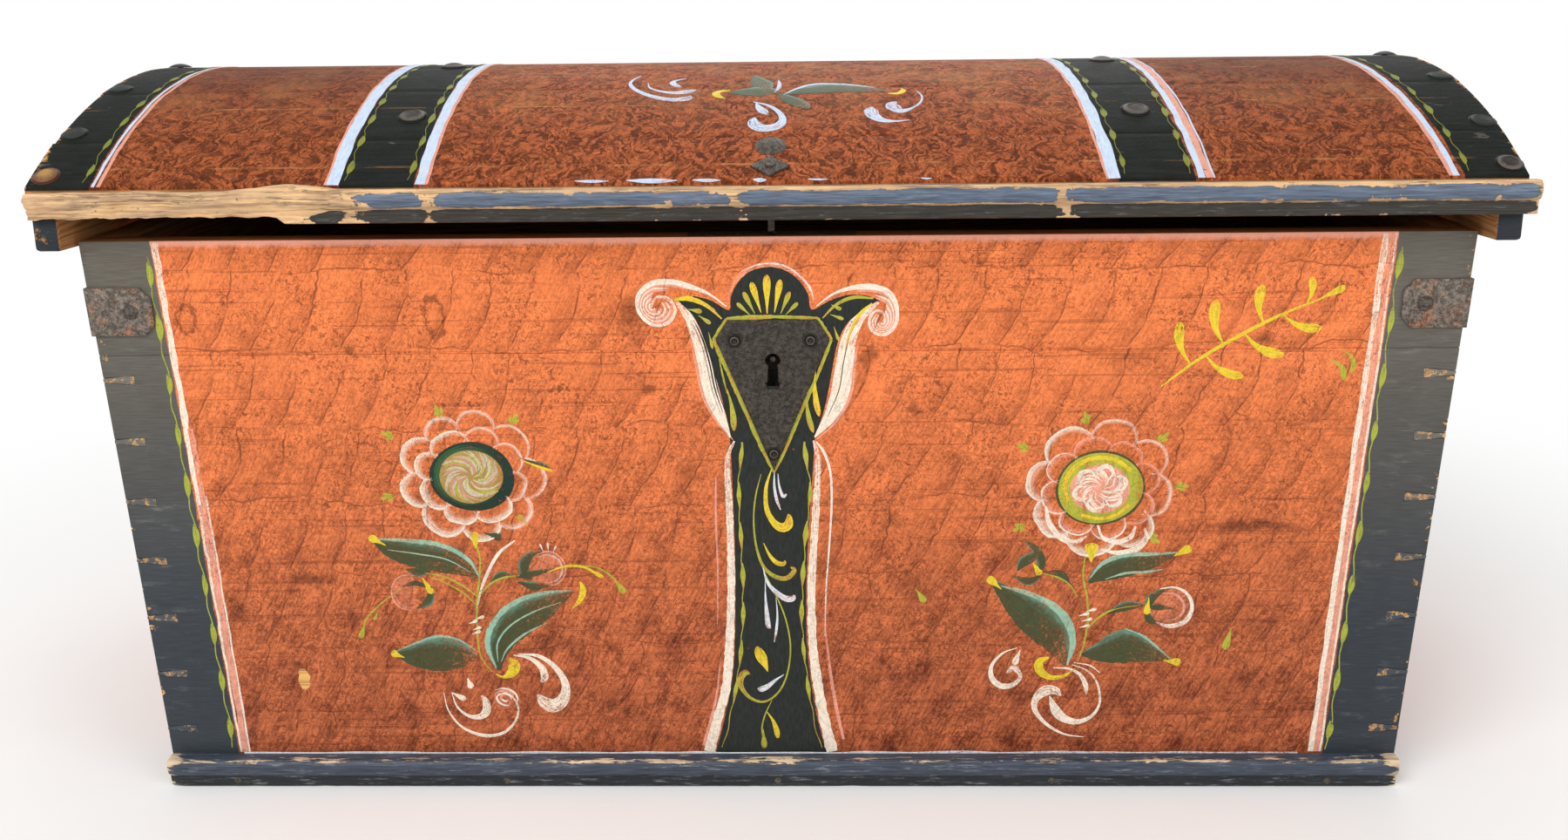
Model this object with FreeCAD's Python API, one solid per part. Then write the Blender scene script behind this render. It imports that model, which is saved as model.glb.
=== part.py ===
import FreeCAD, Part
import math
import os

Vector = FreeCAD.Vector

# A dome-topped trunk in millimetres. X runs left to right, Y front to back, and Z up from the floor.
# The origin is on the floor, below the middle of the body.

# Body
body_top_length = 1120
end_taper = 18
body_depth = 560
body_height = 488
wall_thickness = 25
end_thickness = 26
bottom_thickness = 22
front_upper_board_height = 95
back_upper_board_height = 190
end_upper_board_height = 250
bottom_plank_count = 3
bottom_plank_gap = 1

# Dovetails at the four corners
pin_pitch = 53.5
top_pin_drop = 62.5
lowest_pin_margin = 20
pin_inner_width = 8
pin_outer_width = 3
pin_clearance = 0.3

# Base moulding along the front
base_height = 26
base_flat_height = 11
base_thickness = 16
base_bead_setback = 4

# Lid
ajar_angle = 2.1
lid_seat_gap = 0.5
lid_end_clearance = 4
lid_front_overhang = 20
lid_edge_height = 24
dome_rise = 87
stave_thickness = 18
stave_count = 7
edge_stave_width = 62
end_nail_inset = 15
stave_end_overhang = 2
cheek_thickness = 21
cheek_drop = 26

# Lid front moulding, with its left end broken away to a thin remnant
moulding_height = 26
moulding_fascia_height = 11
moulding_thickness = 14
moulding_bead_setback = 5
moulding_set_down = 3
moulding_end_overhang = 4
moulding_break_length = 214
moulding_break_slant = 22
moulding_lost_end = 10
remnant_thickness = 7
remnant_rise = 11

# Hinges
hinge_spread = 600
hinge_strap_width = 40
hinge_strap_thickness = 3
hinge_leaf_length = 150
knuckle_radius = 6.5
knuckle_clearance = 0.5
knuckle_side_gap = 0.3
hinge_pin_radius = 3.5
hinge_pin_overhang = 3
running_clearance = 0.05
strap_notch_clearance = 0.7
first_rivet_stave = 0.42
rivet_stave_step = 1.64
hinge_rivet_inset = 23
hinge_rivet_count = 3
leaf_nail_count = 3
leaf_nail_inset = 22
leaf_nail_pitch = 50

# Lock
lock_pocket_width = 120
lock_pocket_height = 135
lock_web_thickness = 5
lock_plate_thickness = 2.5
lock_plate_margin = 8
edge_plate_thickness = 2
edge_plate_clearance = 0.2
staple_bar = 4
staple_width = 5
staple_leg_spacing = 14
staple_setback = 15
staple_drop = 18
staple_slot_clearance = 1
staple_front_rove_arc = 18
staple_back_rove_arc = 48
rove_radius = 12.5
rove_height = 4
diamond_rove_length = 31
diamond_rove_width = 26
diamond_rove_thickness = 2.5
bolt_thickness = 6
bolt_finger_height = 7
bolt_finger_drop = 5.5
bolt_tip_gap = 3.5
bolt_arm_width = 16
bolt_arm_reach = 38
bolt_bar_height = 16
bolt_bar_rise = 14
bolt_bar_reach = 30
talon_width = 18
talon_depth = 8
bolt_gap = 0.3
guide_width = 12
guide_height = 4
spring_thickness = 1
spring_foot = 5
spring_length = 44
key_post_radius = 2.2

# Keyhole and its plate
plate_thickness = 2
plate_seam_rise = 27
plate_top_width = 73
plate_shoulder_drop = 15.5
plate_shoulder_width = 93
plate_length = 129
keyhole_drop = 34.4
keyhole_radius = 6.5
keyhole_neck_width = 7.2
keyhole_flare_width = 9.4
keyhole_flare_drop = 18
keyhole_foot_width = 13.6
keyhole_foot_drop = 23.6
plate_nail_spread = 62
plate_nail_drop = 17.2
plate_point_nail_drop = 114

# Corner irons
iron_thickness = 2
iron_height = 40
iron_front_leg = 52
iron_end_leg = 58
iron_centre_drop = 58
iron_clip = 9
iron_nail_inset = 18

# Handles on the two ends
handle_seam_rise = 62
handle_eye_spread = 124
handle_eye_radius = 12
handle_eye_width = 9
handle_standoff = 14
handle_shank_radius = 5
handle_shank_clench = 6
handle_shank_clearance = 0.3
rosette_radius = 20
rosette_thickness = 2
bail_rod_radius = 5.5
bail_width = 92
bail_drop = 74
bail_shoulder_radius = 9
bail_corner_radius = 28
bail_end_overhang = 6

# Nails and rivets
rivet_head_radius = 12.5
rivet_head_height = 4
rivet_shank_radius = 3
rivet_clench = 2
clout_head_radius = 11
clout_head_height = 3.5
clout_shank_radius = 2.5
clout_length = 48
strap_nail_head_radius = 6.5
strap_nail_head_height = 3
strap_nail_shank_radius = 2.5
strap_nail_length = 20
plate_nail_head_radius = 4.5
plate_nail_head_height = 2.2
plate_nail_shank_radius = 2
floor_nail_head_radius = 5
floor_nail_head_height = 2
floor_nail_shank_radius = 2.2
floor_nail_length = 60
moulding_nail_head_radius = 3
moulding_nail_head_height = 1.2
moulding_nail_shank_radius = 1.5
moulding_nail_grip = 14
moulding_nail_count = 5
moulding_nail_inset = 60
nail_fit = 0.05
overrun = 6

# Worked out from the sizes above
front_y = -body_depth / 2
back_y = body_depth / 2
front_inner_y = front_y + wall_thickness
back_inner_y = back_y - wall_thickness
body_bottom_length = body_top_length - 2 * end_taper
end_slope = end_taper / body_height
end_run = end_thickness * math.hypot(1, end_slope)
hinge_y = back_y + knuckle_radius + knuckle_clearance
hinge_z = body_height
seat_z = body_height + lid_seat_gap
lid_front_y = front_y - lid_front_overhang
cheek_inner_x = body_top_length / 2 + lid_end_clearance
cheek_outer_x = cheek_inner_x + cheek_thickness
dome_half_depth = (back_y - lid_front_y) / 2
dome_mid_y = (back_y + lid_front_y) / 2
dome_radius = (dome_half_depth ** 2 + dome_rise ** 2) / (2 * dome_rise)
dome_centre_z = seat_z + lid_edge_height + dome_rise - dome_radius
dome_half_angle = math.asin(dome_half_depth / dome_radius)
dome_arc = 2 * dome_half_angle * dome_radius
stave_width = (dome_arc - 2 * edge_stave_width) / (stave_count - 2)
hinge_rivet_arc = edge_stave_width + stave_width * first_rivet_stave
hinge_rivet_pitch = stave_width * rivet_stave_step
hinge_strap_front = hinge_rivet_arc - hinge_rivet_inset
moulding_top_z = seat_z + lid_edge_height - moulding_set_down
moulding_bottom_z = moulding_top_z - moulding_height
moulding_end_x = cheek_outer_x + stave_end_overhang + moulding_end_overhang
lock_bottom_z = body_height - lock_pocket_height
lock_inner_x = lock_pocket_width / 2
plate_top_height = body_height - front_upper_board_height + plate_seam_rise
keyhole_z = plate_top_height - keyhole_drop
iron_centre_height = body_height - iron_centre_drop
handle_height = body_height - end_upper_board_height + handle_seam_rise
staple_y = front_y + staple_setback
nails = {
    "rivet": (rivet_head_radius, rivet_head_height, rivet_shank_radius,
              stave_thickness + hinge_strap_thickness + rivet_clench),
    "clout": (clout_head_radius, clout_head_height, clout_shank_radius, clout_length),
    "strap": (strap_nail_head_radius, strap_nail_head_height, strap_nail_shank_radius, strap_nail_length),
    "plate": (plate_nail_head_radius, plate_nail_head_height, plate_nail_shank_radius,
              plate_thickness + lock_web_thickness),
    "moulding": (moulding_nail_head_radius, moulding_nail_head_height, moulding_nail_shank_radius,
                 base_thickness + moulding_nail_grip),
}
left_side = Vector(1, 0, 0)
front_to_back = Vector(0, 1, 0)
origin = Vector(0, 0, 0)


# Shapes that many pieces share

def box(x0, x1, y0, y1, z0, z1):
    return Part.makeBox(x1 - x0, y1 - y0, z1 - z0, Vector(x0, y0, z0))


def prism_xz(points, y0, y1):
    corners = [Vector(x, y0, z) for x, z in points]
    outline = Part.makePolygon(corners + corners[:1])
    return Part.Face(outline).extrude(Vector(0, y1 - y0, 0))


def prism_yz(points, x0, x1):
    corners = [Vector(x0, y, z) for y, z in points]
    outline = Part.makePolygon(corners + corners[:1])
    return Part.Face(outline).extrude(Vector(x1 - x0, 0, 0))


def rod(start, end, radius):
    axis = end - start
    return Part.makeCylinder(radius, axis.Length, start, axis)


def mirrored(shape, normal):
    return shape.mirror(origin, normal)


def joined(shapes):
    return shapes[0].multiFuse(shapes[1:]).removeSplitter()


def half_length(z):
    return body_bottom_length / 2 + end_slope * z


def body_wedge(z0, z1, y0, y1, grow=0):
    """The body's outer form between two heights, tapered at its ends."""
    low = half_length(z0) + grow
    high = half_length(z1) + grow
    return prism_xz([(-low, z0), (low, z0), (high, z1), (-high, z1)], y0, y1)


def dome_edge(radius, height):
    """The arc in XZ of a shallow domed head, from its rim up to its crown."""
    ball = (radius ** 2 + height ** 2) / (2 * height)
    half = math.asin(radius / ball) / 2
    middle = Vector(ball * math.sin(half), 0, height - ball + ball * math.cos(half))
    return Part.Arc(Vector(radius, 0, 0), middle, Vector(0, 0, height)).toShape()


def nail(kind):
    """One nail along Z, with its domed head above the origin and its shank below."""
    head_radius, head_height, shank_radius, length = nails[kind]
    crown = Vector(0, 0, head_height)
    rim = Vector(head_radius, 0, 0)
    neck = Vector(shank_radius, 0, 0)
    foot = Vector(shank_radius, 0, -length)
    tip = Vector(0, 0, -length)
    dome = dome_edge(head_radius, head_height)
    sides = Part.makePolygon([crown, tip, foot, neck, rim]).Edges
    profile = Part.Face(Part.Wire([dome] + sides))
    return profile.revolve(origin, Vector(0, 0, 1), 360)


def set_nails(kind, places):
    """Nails at (point, outward direction) places, as one group of separate solids."""
    group = []
    for point, outward in places:
        one = nail(kind)
        one.Placement = FreeCAD.Placement(point, FreeCAD.Rotation(Vector(0, 0, 1), outward))
        group.append(one)
    return Part.Compound(group)


def nail_holes(kind, places):
    radius = nails[kind][2] + nail_fit
    length = nails[kind][3] + nail_fit
    return Part.Compound([rod(point - outward * length, point + outward * nail_fit, radius)
                          for point, outward in places])


# Body boards and their dovetails

def pin_outline(height, grow):
    """One dovetail pin at the right end: narrow at the outer face and wide at the inner one."""
    inner = pin_inner_width / 2 + grow
    outer = pin_outer_width / 2 + grow
    face_x = half_length(height)
    back_x = face_x - end_run - grow
    return [(back_x, height - inner), (face_x + grow, height - outer),
            (face_x + grow, height + outer), (back_x, height + inner)]


def pins(y0, y1, grow=0):
    top = body_height - top_pin_drop
    room = top - bottom_thickness - lowest_pin_margin
    heights = [top - pin_pitch * i for i in range(int(room / pin_pitch) + 1)]
    skin = body_wedge(0, body_height, y0, y1, grow)
    right = [prism_xz(pin_outline(height, grow), y0, y1).common(skin) for height in heights]
    return right


def end_panel():
    """The right end with its pins, which reach through the front and the back."""
    low = half_length(bottom_thickness)
    high = half_length(body_height)
    outline = [(low - end_run, bottom_thickness), (low, bottom_thickness),
               (high, body_height), (high - end_run, body_height)]
    panel = prism_xz(outline, front_inner_y, back_inner_y)
    return joined([panel] + pins(front_y, front_inner_y) + pins(back_inner_y, back_y))


def long_panel(y0, y1):
    """The front or the back, with sockets cut between its tails at both ends."""
    panel = body_wedge(bottom_thickness, body_height, y0, y1)
    sockets = pins(y0 - overrun, y1 + overrun, pin_clearance)
    sockets += [mirrored(socket, left_side) for socket in sockets]
    return panel.cut(Part.Compound(sockets))


def split_boards(panel, upper_height):
    seam = body_height - upper_height
    reach = body_top_length
    lower = box(-reach, reach, -reach, reach, 0, seam)
    return panel.cut(lower), panel.common(lower)


def bottom_planks():
    width = body_depth / bottom_plank_count
    half_gap = bottom_plank_gap / 2
    planks = []
    for index in range(bottom_plank_count):
        y0 = front_y + width * index + half_gap
        planks.append(body_wedge(0, bottom_thickness, y0, y0 + width - bottom_plank_gap))
    return planks


def floor_nail_points():
    width = body_depth / bottom_plank_count
    x = half_length(0) - end_thickness / 2
    return [Vector(side * x, front_y + width * (index + 1 / 2), 0)
            for index in range(bottom_plank_count) for side in (-1, 1)]


def floor_nail(point, grow=0):
    up = Vector(0, 0, 1)
    head = rod(point, point + up * floor_nail_head_height, floor_nail_head_radius + grow)
    shank = rod(point, point + up * (floor_nail_length + grow), floor_nail_shank_radius + grow)
    return head.fuse(shank).removeSplitter()


def moulding_face(thickness, flat_height, height, setback, y, z):
    """A flat below a half-round bead, as a face in YZ that stands out towards the front."""
    radius = (height - flat_height) / 2
    edge_y = y - thickness
    bead_y = edge_y + setback
    top = Vector(0, bead_y, z + height)
    under = Vector(0, bead_y, z + flat_height)
    bead = Part.Arc(under, Vector(0, edge_y, z + flat_height + radius), top).toShape()
    corners = [top, Vector(0, y, z + height), Vector(0, y, z), Vector(0, bead_y, z), under]
    return Part.Face(Part.Wire([bead] + Part.makePolygon(corners).Edges))


def base_moulding():
    face = moulding_face(base_thickness, base_flat_height, base_height, base_bead_setback, front_y, 0)
    long_bar = face.extrude(Vector(body_top_length, 0, 0))
    long_bar.translate(Vector(-body_top_length / 2, 0, 0))
    return long_bar.common(body_wedge(0, base_height, front_y - base_thickness, front_y))


def base_nail_places():
    reach = half_length(0) - moulding_nail_inset
    step = 2 * reach / (moulding_nail_count - 1)
    y = front_y - base_thickness + base_bead_setback
    height = base_flat_height / 2
    return [(Vector(step * i - reach, y, height), Vector(0, -1, 0)) for i in range(moulding_nail_count)]


# Corner irons

def clipped(a0, a1, z0, z1):
    """A strip with the two corners at its far end, a1, clipped off."""
    back = math.copysign(iron_clip, a0 - a1)
    return [(a0, z0), (a1 + back, z0), (a1, z0 + iron_clip),
            (a1, z1 - iron_clip), (a1 + back, z1), (a0, z1)]


def corner_iron():
    """The strap round the right front corner, on the front board and the end board."""
    z0 = iron_centre_height - iron_height / 2
    z1 = iron_centre_height + iron_height / 2
    corner_x = half_length(iron_centre_height)
    sheet = body_wedge(0, body_height, front_y - iron_thickness, back_y, iron_thickness)
    sheet = sheet.cut(body_wedge(0, body_height, front_y, back_y + overrun))
    front_leg = prism_xz(clipped(corner_x + overrun, corner_x - iron_front_leg, z0, z1),
                         front_y - iron_thickness, front_y)
    end_leg = prism_yz(clipped(front_y - overrun, front_y + iron_end_leg, z0, z1),
                       corner_x - overrun, corner_x + overrun)
    return sheet.common(front_leg.fuse(end_leg)).removeSplitter()


def iron_nail_places():
    corner_x = half_length(iron_centre_height)
    slope = Vector(1, 0, -end_slope).normalize()
    front = (Vector(corner_x - iron_front_leg + iron_nail_inset, front_y - iron_thickness,
                    iron_centre_height), Vector(0, -1, 0))
    end = (Vector(corner_x + iron_thickness, front_y + iron_end_leg - iron_nail_inset,
                  iron_centre_height), slope)
    right = [front, end]
    right += [(Vector(p.x, -p.y, p.z), Vector(d.x, -d.y, d.z)) for p, d in right]
    return right + [(Vector(-p.x, p.y, p.z), Vector(-d.x, d.y, d.z)) for p, d in right]


# Keyhole plate and lock

def keyhole(y0, y1):
    z = keyhole_z
    neck = keyhole_neck_width / 2
    flare = keyhole_flare_width / 2
    foot = keyhole_foot_width / 2
    shelf = z - keyhole_flare_drop
    toe = z - keyhole_foot_drop
    slot = [(neck, z), (flare, shelf), (foot, shelf), (flare, toe),
            (-flare, toe), (-foot, shelf), (-flare, shelf), (-neck, z)]
    round_end = rod(Vector(0, y0, z), Vector(0, y1, z), keyhole_radius)
    return round_end.fuse(prism_xz(slot, y0, y1)).removeSplitter()


def keyhole_plate():
    top = plate_top_width / 2
    shoulder = plate_shoulder_width / 2
    shoulder_z = plate_top_height - plate_shoulder_drop
    outline = [(-top, plate_top_height), (top, plate_top_height), (shoulder, shoulder_z),
               (0, plate_top_height - plate_length), (-shoulder, shoulder_z)]
    plate = prism_xz(outline, front_y - plate_thickness, front_y)
    return plate.cut(keyhole(front_y - plate_thickness - overrun, front_y + overrun))


def plate_nail_places():
    y = front_y - plate_thickness
    points = [(-plate_nail_spread / 2, plate_nail_drop), (plate_nail_spread / 2, plate_nail_drop),
              (0, plate_point_nail_drop)]
    return [(Vector(x, y, plate_top_height - drop), Vector(0, -1, 0)) for x, drop in points]


def lock_pocket():
    """The room cut into the front boards from the inside, and the seat of the edge plate."""
    web_y = front_y + lock_web_thickness
    room = box(-lock_inner_x, lock_inner_x, web_y, front_inner_y + overrun, lock_bottom_z,
               body_height + overrun)
    seat_x = lock_inner_x + lock_plate_margin + edge_plate_clearance
    seat = box(-seat_x, seat_x, web_y - edge_plate_clearance, front_inner_y + overrun,
               body_height - edge_plate_thickness, body_height + overrun)
    return room.fuse(seat)


def lock_plate():
    """The plate on the inner face of the front, with the edge plate along the top edge."""
    x = lock_inner_x + lock_plate_margin
    back = box(-x, x, front_inner_y, front_inner_y + lock_plate_thickness,
               lock_bottom_z - lock_plate_margin, body_height)
    edge = box(-x, x, front_y + lock_web_thickness, front_inner_y + lock_plate_thickness,
               body_height - edge_plate_thickness, body_height)
    slot_x = staple_width / 2 + staple_slot_clearance
    slot_y = (staple_leg_spacing + staple_bar) / 2 + staple_slot_clearance
    slot = box(-slot_x, slot_x, staple_y - slot_y, staple_y + slot_y,
               body_height - edge_plate_thickness - overrun, body_height + overrun)
    return back.fuse(edge).cut(slot).removeSplitter()


def lock_plate_nail_places():
    x = lock_inner_x + lock_plate_margin / 2
    z0 = lock_bottom_z + lock_plate_margin
    z1 = body_height - edge_plate_thickness - strap_nail_head_radius - lock_plate_margin
    y = front_inner_y + lock_plate_thickness
    return [(Vector(side * x, y, z), Vector(0, 1, 0)) for side in (-1, 1) for z in (z0, z1)]


def bolt_levels():
    finger_top = body_height - bolt_finger_drop
    return finger_top, finger_top - bolt_finger_height, keyhole_z + bolt_bar_rise


def lock_bolt():
    """The sliding bolt: a finger for the staple, an arm, and a bar with the key's talon notch."""
    finger_top, finger_low, bar_low = bolt_levels()
    bar_top = bar_low + bolt_bar_height
    tip_x = -staple_width / 2 - bolt_tip_gap
    arm_x = -bolt_arm_reach
    outline = [(arm_x - bolt_arm_width / 2, bar_low), (-talon_width / 2, bar_low),
               (-talon_width / 2, bar_low + talon_depth), (talon_width / 2, bar_low + talon_depth),
               (talon_width / 2, bar_low), (bolt_bar_reach, bar_low), (bolt_bar_reach, bar_top),
               (arm_x + bolt_arm_width / 2, bar_top), (arm_x + bolt_arm_width / 2, finger_low),
               (tip_x, finger_low), (tip_x, finger_top), (arm_x - bolt_arm_width / 2, finger_top)]
    return prism_xz(outline, staple_y - bolt_thickness / 2, staple_y + bolt_thickness / 2)


def lock_guides():
    """Two blocks on the lock plate: the finger and the bar slide along them."""
    finger_low = bolt_levels()[1]
    bar_low = bolt_levels()[2]
    y0 = staple_y - bolt_thickness / 2
    x1 = -staple_width / 2 - staple_slot_clearance
    upper = box(x1 - guide_width, x1, y0, front_inner_y,
                finger_low - bolt_gap - guide_height, finger_low - bolt_gap)
    x0 = -bolt_arm_reach - bolt_arm_width / 2
    lower = box(x0, x0 + guide_width, y0, front_inner_y,
                bar_low - bolt_gap - guide_height, bar_low - bolt_gap)
    return Part.Compound([upper, lower])


def lock_spring():
    """A leaf that lies along the top of the bolt's bar, held by a foot on the lock plate."""
    z = bolt_levels()[2] + bolt_bar_height + bolt_gap
    x1 = lock_inner_x - spring_foot
    y0 = staple_y - bolt_thickness / 2
    leaf = box(x1 - spring_length, x1, y0, staple_y + bolt_thickness / 2, z, z + spring_thickness)
    foot = box(x1 - spring_foot, x1, y0, front_inner_y, z, z + spring_foot)
    return leaf.fuse(foot).removeSplitter()


def key_post():
    return rod(Vector(0, front_inner_y, keyhole_z),
               Vector(0, front_y + lock_web_thickness, keyhole_z), key_post_radius)


# Handles

def handle_axis():
    return Vector(half_length(handle_height) + handle_standoff, 0, handle_height)


def handle_shank(y, grow):
    axis = handle_axis()
    length = handle_standoff + end_thickness + handle_shank_clench + grow
    return rod(Vector(axis.x, y, axis.z), Vector(axis.x - length, y, axis.z), handle_shank_radius + grow)


def handle_eyes():
    """Two eyes on the right end, each with a shank driven through the board."""
    axis = handle_axis()
    eyes = []
    for side in (-1, 1):
        y = side * handle_eye_spread / 2
        y0 = Vector(axis.x, y - handle_eye_width / 2, axis.z)
        y1 = Vector(axis.x, y + handle_eye_width / 2, axis.z)
        eye = rod(y0, y1, handle_eye_radius).fuse(handle_shank(y, 0))
        bore = rod(y0 - front_to_back * overrun, y1 + front_to_back * overrun,
                   bail_rod_radius + running_clearance)
        eyes.append(eye.cut(bore).removeSplitter())
    return Part.Compound(eyes)


def handle_rosettes():
    """Round plates under the eyes, flat on the sloping end board."""
    slope = Vector(1, 0, -end_slope).normalize()
    plates = []
    for side in (-1, 1):
        y = side * handle_eye_spread / 2
        base = Vector(half_length(handle_height), y, handle_height)
        plate = rod(base, base + slope * rosette_thickness, rosette_radius)
        plates.append(plate.cut(handle_shank(y, handle_shank_clearance)))
    return Part.Compound(plates)


def rounded_path(points, radii):
    """A wire through points, with an arc of the given radius at each inner point."""
    edges = []
    start = points[0]
    for before, corner, after, radius in zip(points, points[1:], points[2:], radii):
        to_before = (before - corner).normalize()
        to_after = (after - corner).normalize()
        half = to_before.getAngle(to_after) / 2
        cut = radius / math.tan(half)
        bisector = (to_before + to_after).normalize()
        middle = corner + bisector * (radius / math.sin(half) - radius)
        entry = corner + to_before * cut
        leave = corner + to_after * cut
        edges.append(Part.makeLine(start, entry))
        edges.append(Part.Arc(entry, middle, leave).toShape())
        start = leave
    edges.append(Part.makeLine(start, points[-1]))
    return Part.Wire(edges)


def bail():
    """The right handle, hanging plumb from its two eyes."""
    axis = handle_axis()
    end = handle_eye_spread / 2 + handle_eye_width / 2 + bail_end_overhang
    half = bail_width / 2
    route = [(-end, 0), (-half, 0), (-half, -bail_drop), (half, -bail_drop), (half, 0), (end, 0)]
    points = [Vector(axis.x, y, axis.z + z) for y, z in route]
    radii = [bail_shoulder_radius, bail_corner_radius, bail_corner_radius, bail_shoulder_radius]
    path = rounded_path(points, radii)
    ring = Part.Wire(Part.makeCircle(bail_rod_radius, points[0], front_to_back))
    return path.makePipeShell([ring], True, False)


# Lid, built closed

def dome_point(arc, depth=0):
    """A point on the dome, given its way along the arc from the front edge, and how deep it lies."""
    angle = arc / dome_radius - dome_half_angle
    radius = dome_radius - depth
    return Vector(0, dome_mid_y + radius * math.sin(angle), dome_centre_z + radius * math.cos(angle))


def dome_outward(arc):
    angle = arc / dome_radius - dome_half_angle
    return Vector(0, math.sin(angle), math.cos(angle))


def dome_cylinder(depth, half):
    start = Vector(-half, dome_mid_y, dome_centre_z)
    return rod(start, Vector(half, dome_mid_y, dome_centre_z), dome_radius - depth)


def stave_seams():
    return [edge_stave_width + stave_width * i for i in range(stave_count - 1)]


def dome_wedge(arc0, arc1, half):
    centre = (dome_mid_y, dome_centre_z)
    points = [centre]
    for arc in (arc0, (arc0 + arc1) / 2, arc1):
        tip = dome_point(arc, -dome_radius)
        points.append((tip.y, tip.z))
    return prism_yz(points, -half, half)


def lid_staves():
    half = cheek_outer_x + stave_end_overhang
    shell = dome_cylinder(0, half).cut(dome_cylinder(stave_thickness, half + overrun))
    shell = shell.common(box(-half, half, lid_front_y, back_y, seat_z, seat_z + dome_radius))
    bounds = [-edge_stave_width] + stave_seams() + [dome_arc + edge_stave_width]
    return [shell.common(dome_wedge(a, b, half + overrun)) for a, b in zip(bounds, bounds[1:])]


def under_dome(x0, x1, y0, y1, z0):
    block = box(x0, x1, y0, y1, z0, seat_z + dome_radius)
    return block.common(dome_cylinder(stave_thickness, cheek_outer_x + overrun))


def lid_front_moulding():
    """Bead over fascia; the left end is a thin remnant of the strip that split away."""
    face = moulding_face(moulding_thickness, moulding_fascia_height, moulding_height,
                         moulding_bead_setback, lid_front_y, moulding_bottom_z)
    break_x = -moulding_end_x + moulding_break_length
    bar = face.extrude(Vector(2 * moulding_end_x, 0, 0))
    bar.translate(Vector(-moulding_end_x, 0, 0))
    lost = prism_xz([(-moulding_end_x - overrun, moulding_bottom_z - overrun),
                     (break_x - moulding_break_slant, moulding_bottom_z - overrun),
                     (break_x, moulding_top_z + overrun),
                     (-moulding_end_x - overrun, moulding_top_z + overrun)],
                    lid_front_y - moulding_thickness - overrun, lid_front_y + overrun)
    remnant = box(-moulding_end_x + moulding_lost_end, break_x, lid_front_y - remnant_thickness,
                  lid_front_y, moulding_bottom_z + remnant_rise, moulding_top_z)
    return bar.cut(lost).fuse(remnant).removeSplitter()


# Hinges

def hinge_sides():
    return (-hinge_spread / 2, hinge_spread / 2)


def knuckle(x0, x1):
    return rod(Vector(x0, hinge_y, hinge_z), Vector(x1, hinge_y, hinge_z), knuckle_radius)


def pin_bore():
    half = hinge_strap_width
    return rod(Vector(-half, hinge_y, hinge_z), Vector(half, hinge_y, hinge_z),
               hinge_pin_radius + running_clearance)


def hinge_strap():
    """The lid's strap: knuckle, tongue under the back rail, riser, and a band under the dome."""
    half = hinge_strap_width / 2
    third = hinge_strap_width / 6 - knuckle_side_gap
    low_z = seat_z - hinge_strap_thickness
    riser_y = back_inner_y - hinge_strap_thickness
    tongue = box(-half, half, riser_y, back_y - knuckle_clearance, low_z, seat_z)
    link = box(-third, third, back_inner_y, hinge_y, low_z, seat_z)
    band = dome_cylinder(stave_thickness, half).cut(
        dome_cylinder(stave_thickness + hinge_strap_thickness, half + overrun))
    band = band.common(dome_wedge(hinge_strap_front, dome_arc, half + overrun))
    band = band.common(box(-half, half, lid_front_y, back_inner_y, seat_z, seat_z + dome_radius))
    riser = under_dome(-half, half, riser_y, back_inner_y, low_z)
    return joined([tongue, link, band, riser, knuckle(-third, third)]).cut(pin_bore())


def hinge_leaf():
    """The leaf on the outside of the back, with the two outer knuckles."""
    half = hinge_strap_width / 2
    third = hinge_strap_width / 6
    shoulder_z = hinge_z - knuckle_radius - knuckle_clearance
    outer_y = back_y + hinge_strap_thickness
    pieces = [box(-half, half, back_y, outer_y, hinge_z - hinge_leaf_length, shoulder_z)]
    for x0, x1 in ((-half, -third), (third, half)):
        pieces.append(box(x0, x1, back_y, outer_y, shoulder_z, hinge_z))
        pieces.append(knuckle(x0, x1))
    return joined(pieces).cut(pin_bore())


def hinge_pin():
    half = hinge_strap_width / 2 + hinge_pin_overhang
    return rod(Vector(-half, hinge_y, hinge_z), Vector(half, hinge_y, hinge_z), hinge_pin_radius)


def strap_notches():
    half = hinge_strap_width / 2 + strap_notch_clearance
    low_z = seat_z - hinge_strap_thickness - strap_notch_clearance
    return Part.Compound([box(x - half, x + half, back_inner_y - overrun, back_y + overrun, low_z,
                              body_height + overrun) for x in hinge_sides()])


def leaf_nail_places():
    top = hinge_z - leaf_nail_inset
    y = back_y + hinge_strap_thickness
    return [(Vector(x, y, top - leaf_nail_pitch * i), Vector(0, 1, 0))
            for x in hinge_sides() for i in range(leaf_nail_count)]


def hinge_rivet_places():
    arcs = [hinge_rivet_arc + hinge_rivet_pitch * i for i in range(hinge_rivet_count)]
    return [(dome_point(arc) + Vector(x, 0, 0), dome_outward(arc)) for x in hinge_sides() for arc in arcs]


def end_nail_places():
    """One nail at each end of each stave, near its lower edge, into the cheek below it."""
    bounds = [0] + stave_seams() + [dome_arc]
    x = (cheek_inner_x + cheek_outer_x) / 2
    places = []
    for arc0, arc1 in zip(bounds, bounds[1:]):
        arc = dome_arc / 2
        if arc1 < arc:
            arc = arc0 + end_nail_inset
        elif arc0 > arc:
            arc = arc1 - end_nail_inset
        places += [(dome_point(arc) + Vector(side * x, 0, 0), dome_outward(arc)) for side in (-1, 1)]
    return places


# Lock staple on the lid

def staple_route():
    """The staple's line in YZ: up from the eye through the rail and a stave to each rove."""
    front_top = dome_point(staple_front_rove_arc)
    back_top = dome_point(staple_back_rove_arc)
    front_leg = staple_y - staple_leg_spacing / 2
    back_leg = staple_y + staple_leg_spacing / 2
    low_z = body_height - staple_drop + staple_bar / 2
    return [(front_top.y, front_top.z), (front_leg, seat_z), (front_leg, low_z),
            (back_leg, low_z), (back_leg, seat_z), (back_top.y, back_top.z)]


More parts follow.
